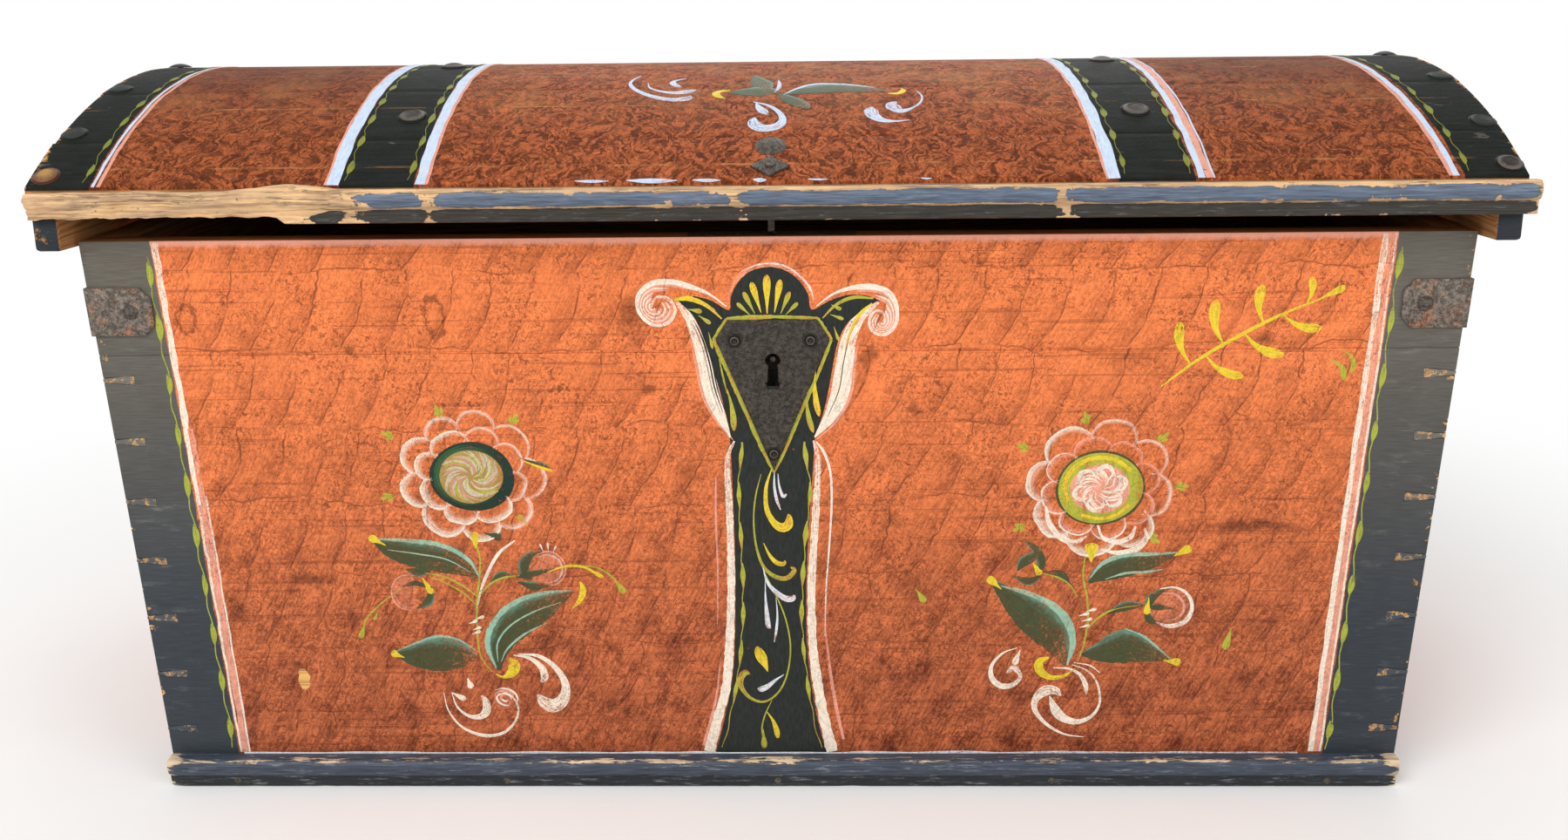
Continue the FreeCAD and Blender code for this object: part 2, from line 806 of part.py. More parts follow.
def staple(grow=0):
    half = staple_bar / 2 + grow
    x = staple_width / 2 + grow
    pieces = []
    route = staple_route()
    for (y0, z0), (y1, z1) in zip(route, route[1:]):
        length = math.hypot(y1 - y0, z1 - z0)
        side_y = (z1 - z0) / length * half
        side_z = -(y1 - y0) / length * half
        pieces.append(prism_yz([(y0 + side_y, z0 + side_z), (y1 + side_y, z1 + side_z),
                                (y1 - side_y, z1 - side_z), (y0 - side_y, z0 - side_z)], -x, x))
    for y, z in route[1:-1]:
        pieces.append(rod(Vector(-x, y, z), Vector(x, y, z), half))
    return joined(pieces).common(dome_cylinder(0, x + overrun))


def round_rove():
    sides = Part.makePolygon([Vector(0, 0, rove_height), origin, Vector(rove_radius, 0, 0)]).Edges
    profile = Part.Face(Part.Wire([dome_edge(rove_radius, rove_height)] + sides))
    cap = profile.revolve(origin, Vector(0, 0, 1), 360)
    turn = FreeCAD.Rotation(Vector(0, 0, 1), dome_outward(staple_back_rove_arc))
    cap.Placement = FreeCAD.Placement(dome_point(staple_back_rove_arc), turn)
    return cap


def diamond_rove():
    point = dome_point(staple_front_rove_arc)
    outward = dome_outward(staple_front_rove_arc)
    along = Vector(0, outward.z, -outward.y)
    across = Vector(diamond_rove_length / 2, 0, 0)
    deep = along * (diamond_rove_width / 2)
    corners = [point + across, point + deep, point - across, point - deep]
    plate = Part.Face(Part.makePolygon(corners + corners[:1])).extrude(outward * diamond_rove_thickness)
    clench = rod(point, point + outward * (diamond_rove_thickness + staple_bar / 2), staple_bar)
    return plate.fuse(clench).removeSplitter()


# The pieces by name

def body_pieces():
    """Every fixed piece of the body, as a dictionary of names and shapes."""
    plank_nails = [floor_nail(point) for point in floor_nail_points()]
    plank_holes = Part.Compound([floor_nail(point, nail_fit) for point in floor_nail_points()])
    irons = nail_holes("strap", iron_nail_places())
    leaves = nail_holes("strap", leaf_nail_places())
    lock_nails = nail_holes("strap", lock_plate_nail_places())
    plate_nails = nail_holes("plate", plate_nail_places())
    base_nails = nail_holes("moulding", base_nail_places())
    shanks = [handle_shank(side * handle_eye_spread / 2, nail_fit) for side in (-1, 1)]
    front = long_panel(front_y, front_inner_y).cut(lock_pocket())
    front = front.cut(keyhole(front_y - overrun, front_inner_y))
    for holes in (irons, plate_nails, lock_nails):
        front = front.cut(holes)
    back = long_panel(back_inner_y, back_y).cut(strap_notches()).cut(irons).cut(leaves)
    right_end = end_panel().cut(Part.Compound(shanks)).cut(plank_holes).cut(irons)
    pieces = {}
    pieces["front_upper_board"], pieces["front_lower_board"] = split_boards(front, front_upper_board_height)
    pieces["back_upper_board"], pieces["back_lower_board"] = split_boards(back, back_upper_board_height)
    upper, lower = split_boards(right_end, end_upper_board_height)
    pieces["right_end_upper_board"] = upper
    pieces["right_end_lower_board"] = lower
    pieces["left_end_upper_board"] = mirrored(upper, left_side)
    pieces["left_end_lower_board"] = mirrored(lower, left_side)
    for number, plank in enumerate(bottom_planks(), 1):
        pieces["bottom_plank_%d" % number] = plank.cut(plank_holes).cut(base_nails)
    pieces["bottom_plank_nails"] = Part.Compound(plank_nails)
    pieces["front_base_moulding"] = base_moulding().cut(base_nails)
    pieces["base_moulding_nails"] = set_nails("moulding", base_nail_places())
    iron = corner_iron().cut(irons)
    pieces["right_front_corner_iron"] = iron
    pieces["left_front_corner_iron"] = mirrored(iron, left_side)
    pieces["right_back_corner_iron"] = mirrored(iron, front_to_back)
    pieces["left_back_corner_iron"] = mirrored(mirrored(iron, front_to_back), left_side)
    pieces["corner_iron_nails"] = set_nails("strap", iron_nail_places())
    pieces["keyhole_plate"] = keyhole_plate().cut(plate_nails)
    pieces["keyhole_plate_nails"] = set_nails("plate", plate_nail_places())
    pieces["lock_plate"] = lock_plate().cut(lock_nails)
    pieces["lock_plate_nails"] = set_nails("strap", lock_plate_nail_places())
    pieces["lock_bolt_guides"] = lock_guides()
    pieces["lock_spring"] = lock_spring()
    pieces["lock_key_post"] = key_post()
    for side, x in zip(("left", "right"), hinge_sides()):
        leaf = hinge_leaf()
        leaf.translate(Vector(x, 0, 0))
        pieces[side + "_hinge_leaf"] = leaf.cut(leaves)
        pin = hinge_pin()
        pin.translate(Vector(x, 0, 0))
        pieces[side + "_hinge_pin"] = pin
    pieces["hinge_leaf_nails"] = set_nails("strap", leaf_nail_places())
    pieces["right_handle_eyes"] = handle_eyes()
    pieces["left_handle_eyes"] = mirrored(handle_eyes(), left_side)
    pieces["right_handle_rosettes"] = handle_rosettes()
    pieces["left_handle_rosettes"] = mirrored(handle_rosettes(), left_side)
    return pieces


def lid_pieces():
    """Every piece of the lid, swung up from closed to where the lid stands ajar."""
    rivets = nail_holes("rivet", hinge_rivet_places())
    clouts = nail_holes("clout", end_nail_places())
    slot = staple(nail_fit)
    pieces = {}
    for number, stave in enumerate(lid_staves(), 1):
        pieces["lid_stave_%d" % number] = stave.cut(rivets).cut(clouts).cut(slot)
    pieces["lid_front_rail"] = under_dome(-cheek_inner_x, cheek_inner_x, lid_front_y, front_inner_y,
                                          seat_z).cut(slot)
    pieces["lid_back_rail"] = under_dome(-cheek_inner_x, cheek_inner_x, back_inner_y, back_y, seat_z)
    cheek = under_dome(cheek_inner_x, cheek_outer_x, lid_front_y, back_y, body_height - cheek_drop)
    cheek = cheek.cut(clouts)
    pieces["lid_right_cheek"] = cheek
    pieces["lid_left_cheek"] = mirrored(cheek, left_side)
    pieces["lid_front_moulding"] = lid_front_moulding()
    for side, x in zip(("left", "right"), hinge_sides()):
        strap = hinge_strap()
        strap.translate(Vector(x, 0, 0))
        pieces[side + "_hinge_strap"] = strap.cut(rivets)
    pieces["hinge_strap_rivets"] = set_nails("rivet", hinge_rivet_places())
    pieces["lid_end_nails"] = set_nails("clout", end_nail_places())
    pieces["lock_staple"] = staple()
    pieces["staple_round_rove"] = round_rove()
    pieces["staple_diamond_rove"] = diamond_rove()
    for shape in pieces.values():
        shape.rotate(Vector(0, hinge_y, hinge_z), Vector(-1, 0, 0), ajar_angle)
    return pieces


def moving_pieces():
    handle = bail()
    return {"lock_bolt": lock_bolt(), "right_handle": handle, "left_handle": mirrored(handle, left_side)}


def main():
    os.makedirs("parts", exist_ok=True)
    for pieces in (body_pieces(), lid_pieces(), moving_pieces()):
        for name, shape in pieces.items():
            shape.exportStep("parts/" + name + ".step")
            print(name, len(shape.Solids), round(shape.Volume), shape.isValid())


main()
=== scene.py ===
import bmesh
import bpy
import math
import random
from mathutils import Matrix, Vector, noise


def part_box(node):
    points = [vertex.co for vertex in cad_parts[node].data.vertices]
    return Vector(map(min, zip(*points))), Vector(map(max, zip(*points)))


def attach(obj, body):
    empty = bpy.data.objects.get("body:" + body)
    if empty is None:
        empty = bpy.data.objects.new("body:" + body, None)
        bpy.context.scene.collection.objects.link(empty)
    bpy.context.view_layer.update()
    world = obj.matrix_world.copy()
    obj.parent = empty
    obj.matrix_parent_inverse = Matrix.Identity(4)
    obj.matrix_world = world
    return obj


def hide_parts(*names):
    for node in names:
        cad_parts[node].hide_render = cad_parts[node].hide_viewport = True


bl_info = {
    "name": "Painted trunk",
    "version": (1, 0, 0),
    "blender": (4, 5, 0),
    "location": "View3D > Sidebar > Trunk",
    "description": "Dresses a dome-topped trunk with worn boards, brush ornament and ironwork",
    "category": "Object",
}

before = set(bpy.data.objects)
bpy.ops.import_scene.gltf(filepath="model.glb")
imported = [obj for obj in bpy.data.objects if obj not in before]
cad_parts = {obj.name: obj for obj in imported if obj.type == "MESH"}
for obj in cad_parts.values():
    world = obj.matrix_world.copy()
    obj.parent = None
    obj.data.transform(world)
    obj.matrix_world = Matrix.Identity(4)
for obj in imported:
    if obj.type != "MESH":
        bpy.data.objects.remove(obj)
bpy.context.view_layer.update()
front_face_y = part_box("front_upper_board")[0][1]
stave_end_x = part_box("lid_stave_2")[1][0]


# Sizes and colours that a user would change

def length(name, description, value):
    return bpy.props.FloatProperty(name=name, description=description, default=value, unit="LENGTH")


def colour(name, description, red, green, blue):
    return bpy.props.FloatVectorProperty(
        name=name, description=description, default=(red / 255, green / 255, blue / 255),
        min=0, max=1, subtype="COLOR_GAMMA")


class TrunkSizes(bpy.types.PropertyGroup):
    dome_radius: length("Dome radius", "Outer radius of the lid's dome", 0.52683)
    dome_mid_y: length("Dome middle", "Middle of the dome from front to back, lid closed", -0.010)
    dome_centre_z: length("Dome centre", "Height of the dome's centre, lid closed", 0.07267)
    dome_half_depth: length("Dome half depth", "Half of the lid from front to back", 0.290)
    hinge_y: length("Hinge depth", "Place of the hinge pins from front to back", 0.287)
    hinge_z: length("Hinge height", "Height of the hinge pins", 0.488)
    ajar: bpy.props.FloatProperty(name="Lid ajar", description="How far the lid stands open at rest",
                                  default=math.radians(2.1), subtype="ANGLE")
    stave_thickness: length("Stave thickness", "Thickness of the lid's staves", 0.018)
    edge_stave_width: length("Edge stave width", "Width of the first and the last stave", 0.062)
    stave_count: bpy.props.IntProperty(name="Staves", description="Number of staves in the lid", default=7)
    board_rounding: length("Board rounding", "Rounding of the boards' edges", 0.0010)
    iron_rounding: length("Iron rounding", "Rounding of the ironwork's edges", 0.0004)
    paint_relief: length("Paint relief", "How far a brush stroke stands off the wood", 0.00022)


class TrunkColours(bpy.types.PropertyGroup):
    # The front field is lighter near the top and darker near the floor: painted light and shade, as the
    # front is lit from above.
    field: colour("Front field", "Orange-red field near the top of the front", 236, 128, 72)
    field_low: colour("Front field, low", "The same field near the floor", 196, 107, 66)
    graining: colour("Graining", "Dark brown graining lines of the front", 92, 38, 20)
    lid_field: colour("Lid field", "Brown-red field of the lid", 142, 76, 44)
    lid_graining: colour("Lid graining", "Dark streaks of the lid", 62, 28, 18)
    # The black bands are lighter near the top and darker near the floor: painted light and shade.
    black: colour("Black bands", "Black paint, upper part", 100, 95, 86)
    black_low: colour("Black bands, low", "Black paint, lower part", 54, 60, 66)
    black_shape: colour("Pillar black", "Black paint of the pillar", 42, 45, 42)
    blue_black: colour("Mouldings", "Blue-black paint of the mouldings", 56, 64, 76)
    # The fascia is darker than the beads: its own brown-black paint and painted shade under the bead.
    fascia: colour("Fascia", "Brown-black paint under the mouldings' beads", 46, 42, 36)
    cream: colour("Cream", "Cream white of the front's lines and scrolls", 240, 228, 208)
    cool_white: colour("Cool white", "Cool white of the pillar's scrolls", 220, 228, 234)
    lid_white: colour("Lid white", "Pale blue of the lid's lines", 196, 214, 236)
    pink: colour("Pink", "Pink of the petals and borders", 238, 170, 148)
    yellow: colour("Yellow", "Yellow of the brush commas", 226, 202, 52)
    olive: colour("Olive", "Yellow-green of the vines", 170, 178, 62)
    heart: colour("Flower heart", "Dull straw of the left flower's heart", 166, 142, 78)
    leaf: colour("Leaf green", "Dark green of the leaves", 56, 76, 50)
    teal: colour("Teal", "Pale teal light on the leaves", 136, 202, 176)
    deep_green: colour("Deep green", "Ring of the left flower", 24, 56, 46)
    mid_green: colour("Mid green", "Lit side of that ring", 56, 98, 60)
    raw_pine: colour("Raw pine", "Fresh broken pine", 234, 180, 104)
    old_pine: colour("Old pine", "Bare pine browned by age", 168, 118, 72)
    iron: colour("Iron", "Dark wrought iron", 88, 80, 72)
    rust: colour("Rust", "Brown rust on the iron", 126, 84, 60)
    floor: colour("Floor", "Pale studio floor", 246, 246, 245)


def sizes():
    return bpy.context.scene.trunk_sizes


def linear(value):
    return value / 12.92 if value <= 0.04045 else ((value + 0.055) / 1.055) ** 2.4


def tone(name, shade=1.0):
    """A colour of the trunk as the linear values that shaders take."""
    return tuple(linear(c) * shade for c in getattr(bpy.context.scene.trunk_colours, name)) + (1.0,)


# Places on the trunk, in millimetres across, along the surface and out from it

def front_place(x, z, out):
    return Vector((x / 1000, front_face_y - out / 1000, z / 1000))


def left_border(z):
    """Where the front's left black band ends, for a number or a node value."""
    return z * -0.041 - 481.5


def right_border(z):
    return z * 0.04 + 478


def swing(point):
    """A point of the closed lid, moved to where the lid stands ajar."""
    s = sizes()
    hinge = Vector((0, s.hinge_y, s.hinge_z))
    return hinge + Matrix.Rotation(-s.ajar, 3, "X") @ (point - hinge)


def dome_half_angle():
    return math.asin(sizes().dome_half_depth / sizes().dome_radius)


def dome_length():
    return 2 * dome_half_angle() * sizes().dome_radius * 1000


def dome_centre():
    return swing(Vector((0, sizes().dome_mid_y, sizes().dome_centre_z)))


def stave_seams():
    s = sizes()
    edge = s.edge_stave_width * 1000
    inner = (dome_length() - 2 * edge) / (s.stave_count - 2)
    return [edge + inner * i for i in range(s.stave_count - 1)]


def stave_lift(x, arc):
    """How far each stave stands above or below the true dome, in millimetres."""
    number = sum(arc > seam for seam in stave_seams())
    bow = noise.noise(Vector((x / 420, number * 7.3, 0.5)))
    return -0.10 + 0.05 * math.sin(number * 2.4 + 0.6) + 0.10 * bow


def lid_place(x, arc, out):
    s = sizes()
    angle = arc / 1000 / s.dome_radius - dome_half_angle()
    radius = s.dome_radius + (out + stave_lift(x, arc)) / 1000
    closed = Vector((x / 1000, s.dome_mid_y + radius * math.sin(angle),
                     s.dome_centre_z + radius * math.cos(angle)))
    return swing(closed)


# Modelling helpers

def clear_selection():
    if bpy.context.mode != "OBJECT":
        bpy.ops.object.mode_set(mode="OBJECT")
    bpy.ops.object.select_all(action="DESELECT")


def make_active(piece):
    clear_selection()
    piece.select_set(True)
    bpy.context.view_layer.objects.active = piece


def edit(piece):
    make_active(piece)
    bpy.ops.object.mode_set(mode="EDIT")
    bpy.ops.mesh.select_mode(type="EDGE")


def merge_doubles(distance):
    bpy.ops.mesh.select_all(action="SELECT")
    bpy.ops.mesh.remove_doubles(threshold=distance)


def leave_edit(outwards=False):
    """Goes back to object mode, with all faces turned outwards if asked."""
    if outwards:
        bpy.ops.mesh.select_all(action="SELECT")
        bpy.ops.mesh.normals_make_consistent(inside=False)
    bpy.ops.object.mode_set(mode="OBJECT")


def smooth(piece, angle=35):
    make_active(piece)
    bpy.ops.object.shade_smooth_by_angle(angle=math.radians(angle))


def cover(piece, finish):
    piece.data.materials.clear()
    piece.data.materials.append(bpy.data.materials[finish])


def finish_piece(piece, body, finish, slot, *nodes):
    cover(piece, finish)
    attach(piece, body)
    if nodes:
        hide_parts(*nodes)


def softened(node, rounding, shortest=0.011):
    """A copy of a CAD node with its longer edges rounded over, save those of the lock's recess."""
    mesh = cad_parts[node].data.copy()
    piece = bpy.data.objects.new(node + "_worn", mesh)
    bpy.context.collection.objects.link(piece)
    edit(piece)
    bpy.ops.mesh.customdata_custom_splitnormals_clear()
    merge_doubles(0.00001)
    bpy.ops.mesh.dissolve_limited(angle_limit=math.radians(0.4))
    bpy.ops.mesh.select_all(action="DESELECT")
    work = bmesh.from_edit_mesh(mesh)
    lock_low, lock_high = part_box("lock_plate")
    margin = 0.003
    sharp = math.radians(25)
    for edge in work.edges:
        middle = (edge.verts[0].co + edge.verts[1].co) / 2
        by_lock = all(a - margin < c < b + margin for a, c, b in zip(lock_low, middle, lock_high))
        if len(edge.link_faces) == 2 and edge.calc_length() > shortest and not by_lock:
            edge.select = edge.calc_face_angle(0) > sharp
    bmesh.update_edit_mesh(mesh)
    bpy.ops.mesh.bevel(offset=rounding, segments=2, affect="EDGES", clamp_overlap=True)
    leave_edit()
    smooth(piece)
    return piece


# Node benches

class Value:
    """What comes out of a node. Arithmetic with it adds more nodes to the same bench."""

    def __init__(self, bench, socket):
        self.bench = bench
        self.socket = socket

    def calc(self, operation, other=None):
        return self.bench.put("ShaderNodeMath", (self, other), operation=operation)

    def __add__(self, other):
        return self.calc("ADD", other)

    def __sub__(self, other):
        return self.calc("SUBTRACT", other)

    def __rsub__(self, other):
        return self * -1 + other

    def __mul__(self, other):
        return self.calc("MULTIPLY", other)

    def __truediv__(self, other):
        return self.calc("DIVIDE", other)

    def __pow__(self, other):
        return self.calc("POWER", other)

    def __abs__(self):
        return self.calc("ABSOLUTE")

    def ease(self, low, high):
        """0 below low, 1 above high, and smooth between; low may be above high."""
        ends = (low, high, 0, 1) if low < high else (high, low, 1, 0)
        return self.bench.put("ShaderNodeMapRange", (self,) + ends, interpolation_type="SMOOTHSTEP")

    def ridge(self, width):
        """Thin lines along the middle contour of a noise."""
        return abs(self - 0.5).ease(width, 0.0)

    def mix(self, low, high):
        """One colour where this value is 0, and another where it is 1."""
        return self.bench.mix(self, low, high)

    def shade(self, colour):
        """A colour made darker or lighter by this value."""
        base = colour[:3] if isinstance(colour, tuple) else colour
        return self.bench.put("ShaderNodeVectorMath", {0: base, "Scale": self}, operation="SCALE")

    def noise(self, scale, detail=2.0, rough=0.5, distortion=0.0):
        sockets = {"Vector": self, "Scale": scale, "Detail": detail, "Roughness": rough,
                   "Distortion": distortion}
        return self.bench.put("ShaderNodeTexNoise", sockets)

    def stretch(self, x, y, z):
        return self.bench.put("ShaderNodeVectorMath", (self, (x, y, z)), operation="MULTIPLY")

    def join(self, y, z):
        return self.bench.put("ShaderNodeCombineXYZ", (self, y, z))

    def split(self):
        return self.bench.outputs("ShaderNodeSeparateXYZ", (self,))


class Bench:
    """A node tree with short calls for the nodes that the finishes use."""

    def __init__(self, tree):
        self.tree = tree
        tree.nodes.clear()

    def outputs(self, kind, inputs=(), **settings):
        """Adds a node with inputs in order, or by number or name, and gives all that comes out of it."""
        node = self.tree.nodes.new(kind)
        for key, value in settings.items():
            setattr(node, key, value)
        for key, value in inputs.items() if isinstance(inputs, dict) else enumerate(inputs):
            if isinstance(value, Value):
                self.tree.links.new(value.socket, node.inputs[key])
            elif value is not None:
                node.inputs[key].default_value = value
        return [Value(self, socket) for socket in node.outputs]

    def put(self, kind, inputs=(), out=0, **settings):
        """Adds a node, and gives one of its outputs."""
        return self.outputs(kind, inputs, **settings)[out]

    def mix(self, amount, low, high):
        return self.put("ShaderNodeMix", {0: amount, 6: low, 7: high}, 2, data_type="RGBA")

    def place(self):
        """Object coordinates in millimetres."""
        metres = self.put("ShaderNodeTexCoord", (), 3)
        return self.put("ShaderNodeVectorMath", {0: metres, "Scale": 1000}, operation="SCALE")

    def attribute(self, name):
        return self.put("ShaderNodeAttribute", (), 2, attribute_name=name)

    def group(self, name):
        return self.outputs("ShaderNodeGroup", (), node_tree=bpy.data.node_groups[name])

    def surface(self, base, rough, height, depth, **sockets):
        """A Principled surface with bump of the given depth in metres."""
        inputs = {name.replace("_", " "): value for name, value in sockets.items()}
        inputs["Base Color"] = base
        inputs["Roughness"] = rough
        inputs["Normal"] = self.put("ShaderNodeBump", {"Height": height, "Distance": depth, "Strength": 1})
        self.outputs("ShaderNodeOutputMaterial", [self.put("ShaderNodeBsdfPrincipled", inputs)])


def most(value, *others):
    """The largest of some values."""
    for other in others:
        value = value.calc("MAXIMUM", other)
    return value


def new_finish(name):
    material = bpy.data.materials.new(name)
    material.use_nodes = True
    return Bench(material.node_tree)


def new_ground(name):
    """A node group for a ground: its colour, roughness, height and dark graining."""
    tree = bpy.data.node_groups.new(name, "ShaderNodeTree")
    tree.interface.new_socket("Colour", in_out="OUTPUT", socket_type="NodeSocketColor")
    for output in ("Roughness", "Height", "Graining"):
        tree.interface.new_socket(output, in_out="OUTPUT", socket_type="NodeSocketFloat")
    return Bench(tree)


# Grounds: the painted and bare surfaces under the ornament

def pine(place, light, dark, along="X"):
    """Colour and height of bare pine with its grain along an axis."""
    squash = {"X": (0.03, 1, 1), "Y": (1, 0.03, 1)}[along]
    grain_place = place.stretch(*squash)
    broad = grain_place.noise(0.055, 2, 0.5, 0.6)
    rings = (broad * 70).calc("SINE")
    fine = grain_place.noise(0.9, 3, 0.6)
    amount = rings * 0.22 + fine
    blotch = place.noise(0.012, 3)
    base = amount.ease(0.2, 0.95).mix(light, dark)
    base = (blotch * 0.5 + 0.75).shade(base)
    return base, amount


def bare_woods(place, along="X"):
    """Fresh pine under the paint, and the old pine of the inside."""
    fresh = pine(place, tone("raw_pine"), tone("old_pine"), along)[0]
    inner = pine(place, tone("old_pine"), tone("old_pine", 0.45), along)[0]
    return fresh, inner


def mark_heads(piece, outward):
    """Notes at each vertex how far it lies from its own nail's axis, as a share of the head's radius."""
    mesh = piece.data
    work = bmesh.new()
    work.from_mesh(mesh)
    layer = work.verts.layers.float.new("reach")
    found = set()
    for start in work.verts:
        if start in found:
            continue
        part = [start]
        found.add(start)
        for corner in part:
            near = [edge.other_vert(corner) for edge in corner.link_edges]
            near = [other for other in near if other not in found]
            part += near
            found.update(near)
        centre = sum((corner.co for corner in part), Vector()) / len(part)
        axis = outward(centre)
        spans = [(corner.co - centre - axis * (corner.co - centre).dot(axis)).length for corner in part]
        for corner, span in zip(part, spans):
            corner[layer] = span / max(spans)
    work.to_mesh(mesh)
    work.free()


def head_finish(name, shade, painted=None):
    """Nail and rivet heads: painted shade in the middle, a painted highlight on the rim, painted over
    behind a given depth.
    """
    bench = new_finish(name)
    place = bench.place()
    x, y = place.split()[:2]
    reach = bench.attribute("reach")
    grit = place.noise(0.5, 3, 0.65)
    ragged = grit * 0.4 + (reach - 0.2)
    # Shaded and lit copies of the iron: painted shade in the dished middle and a painted highlight on the
    # rim, then a dark outer edge.
    base = ragged.ease(0.45, 0.7).mix(tone("iron", 0.35 * shade), tone("iron", 1.3 * shade))
    base = ragged.ease(0.78, 0.92).mix(base, tone("black_shape", 0.6))
    base = (grit * 1.4 + 0.3).shade(base)
    if painted is not None:
        gold = ragged.ease(0.35, 0.75).mix(tone("raw_pine", 0.45), tone("rust", 0.7))
        black = (grit * 1.2 + 0.3).shade(tone("black_shape"))
        base = x.ease(1, -1).mix(base, gold)
        base = y.ease(painted - 1, painted + 1).mix(base, black)
    dish = reach.ease(0.2, 0.72) * reach.ease(1.0, 0.8)
    bench.surface(base, grit * 0.3 + 0.4, dish, 0.003, Metallic=0.3, Specular_IOR_Level=0.25)


def dashes(across, along, scale):
    """Short strokes that lean to the right, packed side by side."""
    aside = (across - along * 0.5) * 0.8
    return aside.join(along * 0.16, 0).noise(scale, 3, 0.55, 0.4)


def worms(place, scale, width):
    """Winding lines, broken here and there."""
    line = place.noise(scale, 1.5, 0.5, 1.8).ridge(width)
    return line * place.noise(scale * 0.7, 2).ease(0.4, 0.55)


def spot(place, x, z, at_x, at_z, wide, high, hollow):
    """A ragged dark spot, or the ragged rim of one."""
    dx = (x - at_x) / wide
    dz = (z - at_z) / high
    away = (dx * dx + dz * dz) ** 0.5
    ragged = away + (place.noise(0.12, 4, 0.7) * 1.6 - 0.8)
    if hollow:
        return abs(ragged - 0.9).ease(0.22, 0.05)
    return ragged.ease(1.0, 0.25)


def combed_lines(place, x, z):
    """Rows of dragged comb lines, upright above and swept aside below, with a wavy line between rows."""
    row_pitch = 66
    line_pitch = 36
    slow = place.noise(0.012, 2) - 0.5
    quick = place.noise(0.05, 3, 0.6) - 0.5
    wander = slow * 40 + quick * 16
    rise = (z + wander * 0.7) / row_pitch
    row = rise.calc("FLOOR")
    up = rise.calc("FRACT")
    down = 1 - up
    sweep = down * down * 26
    shift = (row * 0.377).calc("FRACT") * line_pitch
    across = x + sweep + (shift + wander)
    cell = ((across + 40 * line_pitch) / line_pitch).calc("FRACT")
    gap = cell.calc("MINIMUM", 1 - cell) * line_pitch
    row_gap = up.calc("MINIMUM", down) * row_pitch
    pressure = place.noise(0.05, 4, 0.65).ease(0.34, 0.56)
    line = gap.ease(1.15, 0.2) * pressure
    row_line = row_gap.ease(1.1, 0.2) * place.noise(0.03, 3).ease(0.4, 0.58)
    lee = cell.ease(0.45, 1.0) * cell.ease(1.0, 0.985) * up.ease(1.0, 0.35)
    return most(line, row_line * 0.85), lee


def squiggles(place):
    """Short worm-like marks and dots, crowded in some places and sparse in others."""
    crowd = place.noise(0.024, 3, 0.6).ease(0.28, 0.56)
    marks = [place.noise(0.5, 1, 0.5).ease(0.62, 0.7) * 0.8]
    for scale, turn in ((0.115, 1.2), (0.17, 0.9)):
        worm = place.noise(scale, 1, 0.5, turn).ridge(0.06)
        broken = place.noise(scale * 1.7, 2).ease(0.49, 0.56)
        marks.append(worm * broken)
    return most(*marks) * crowd


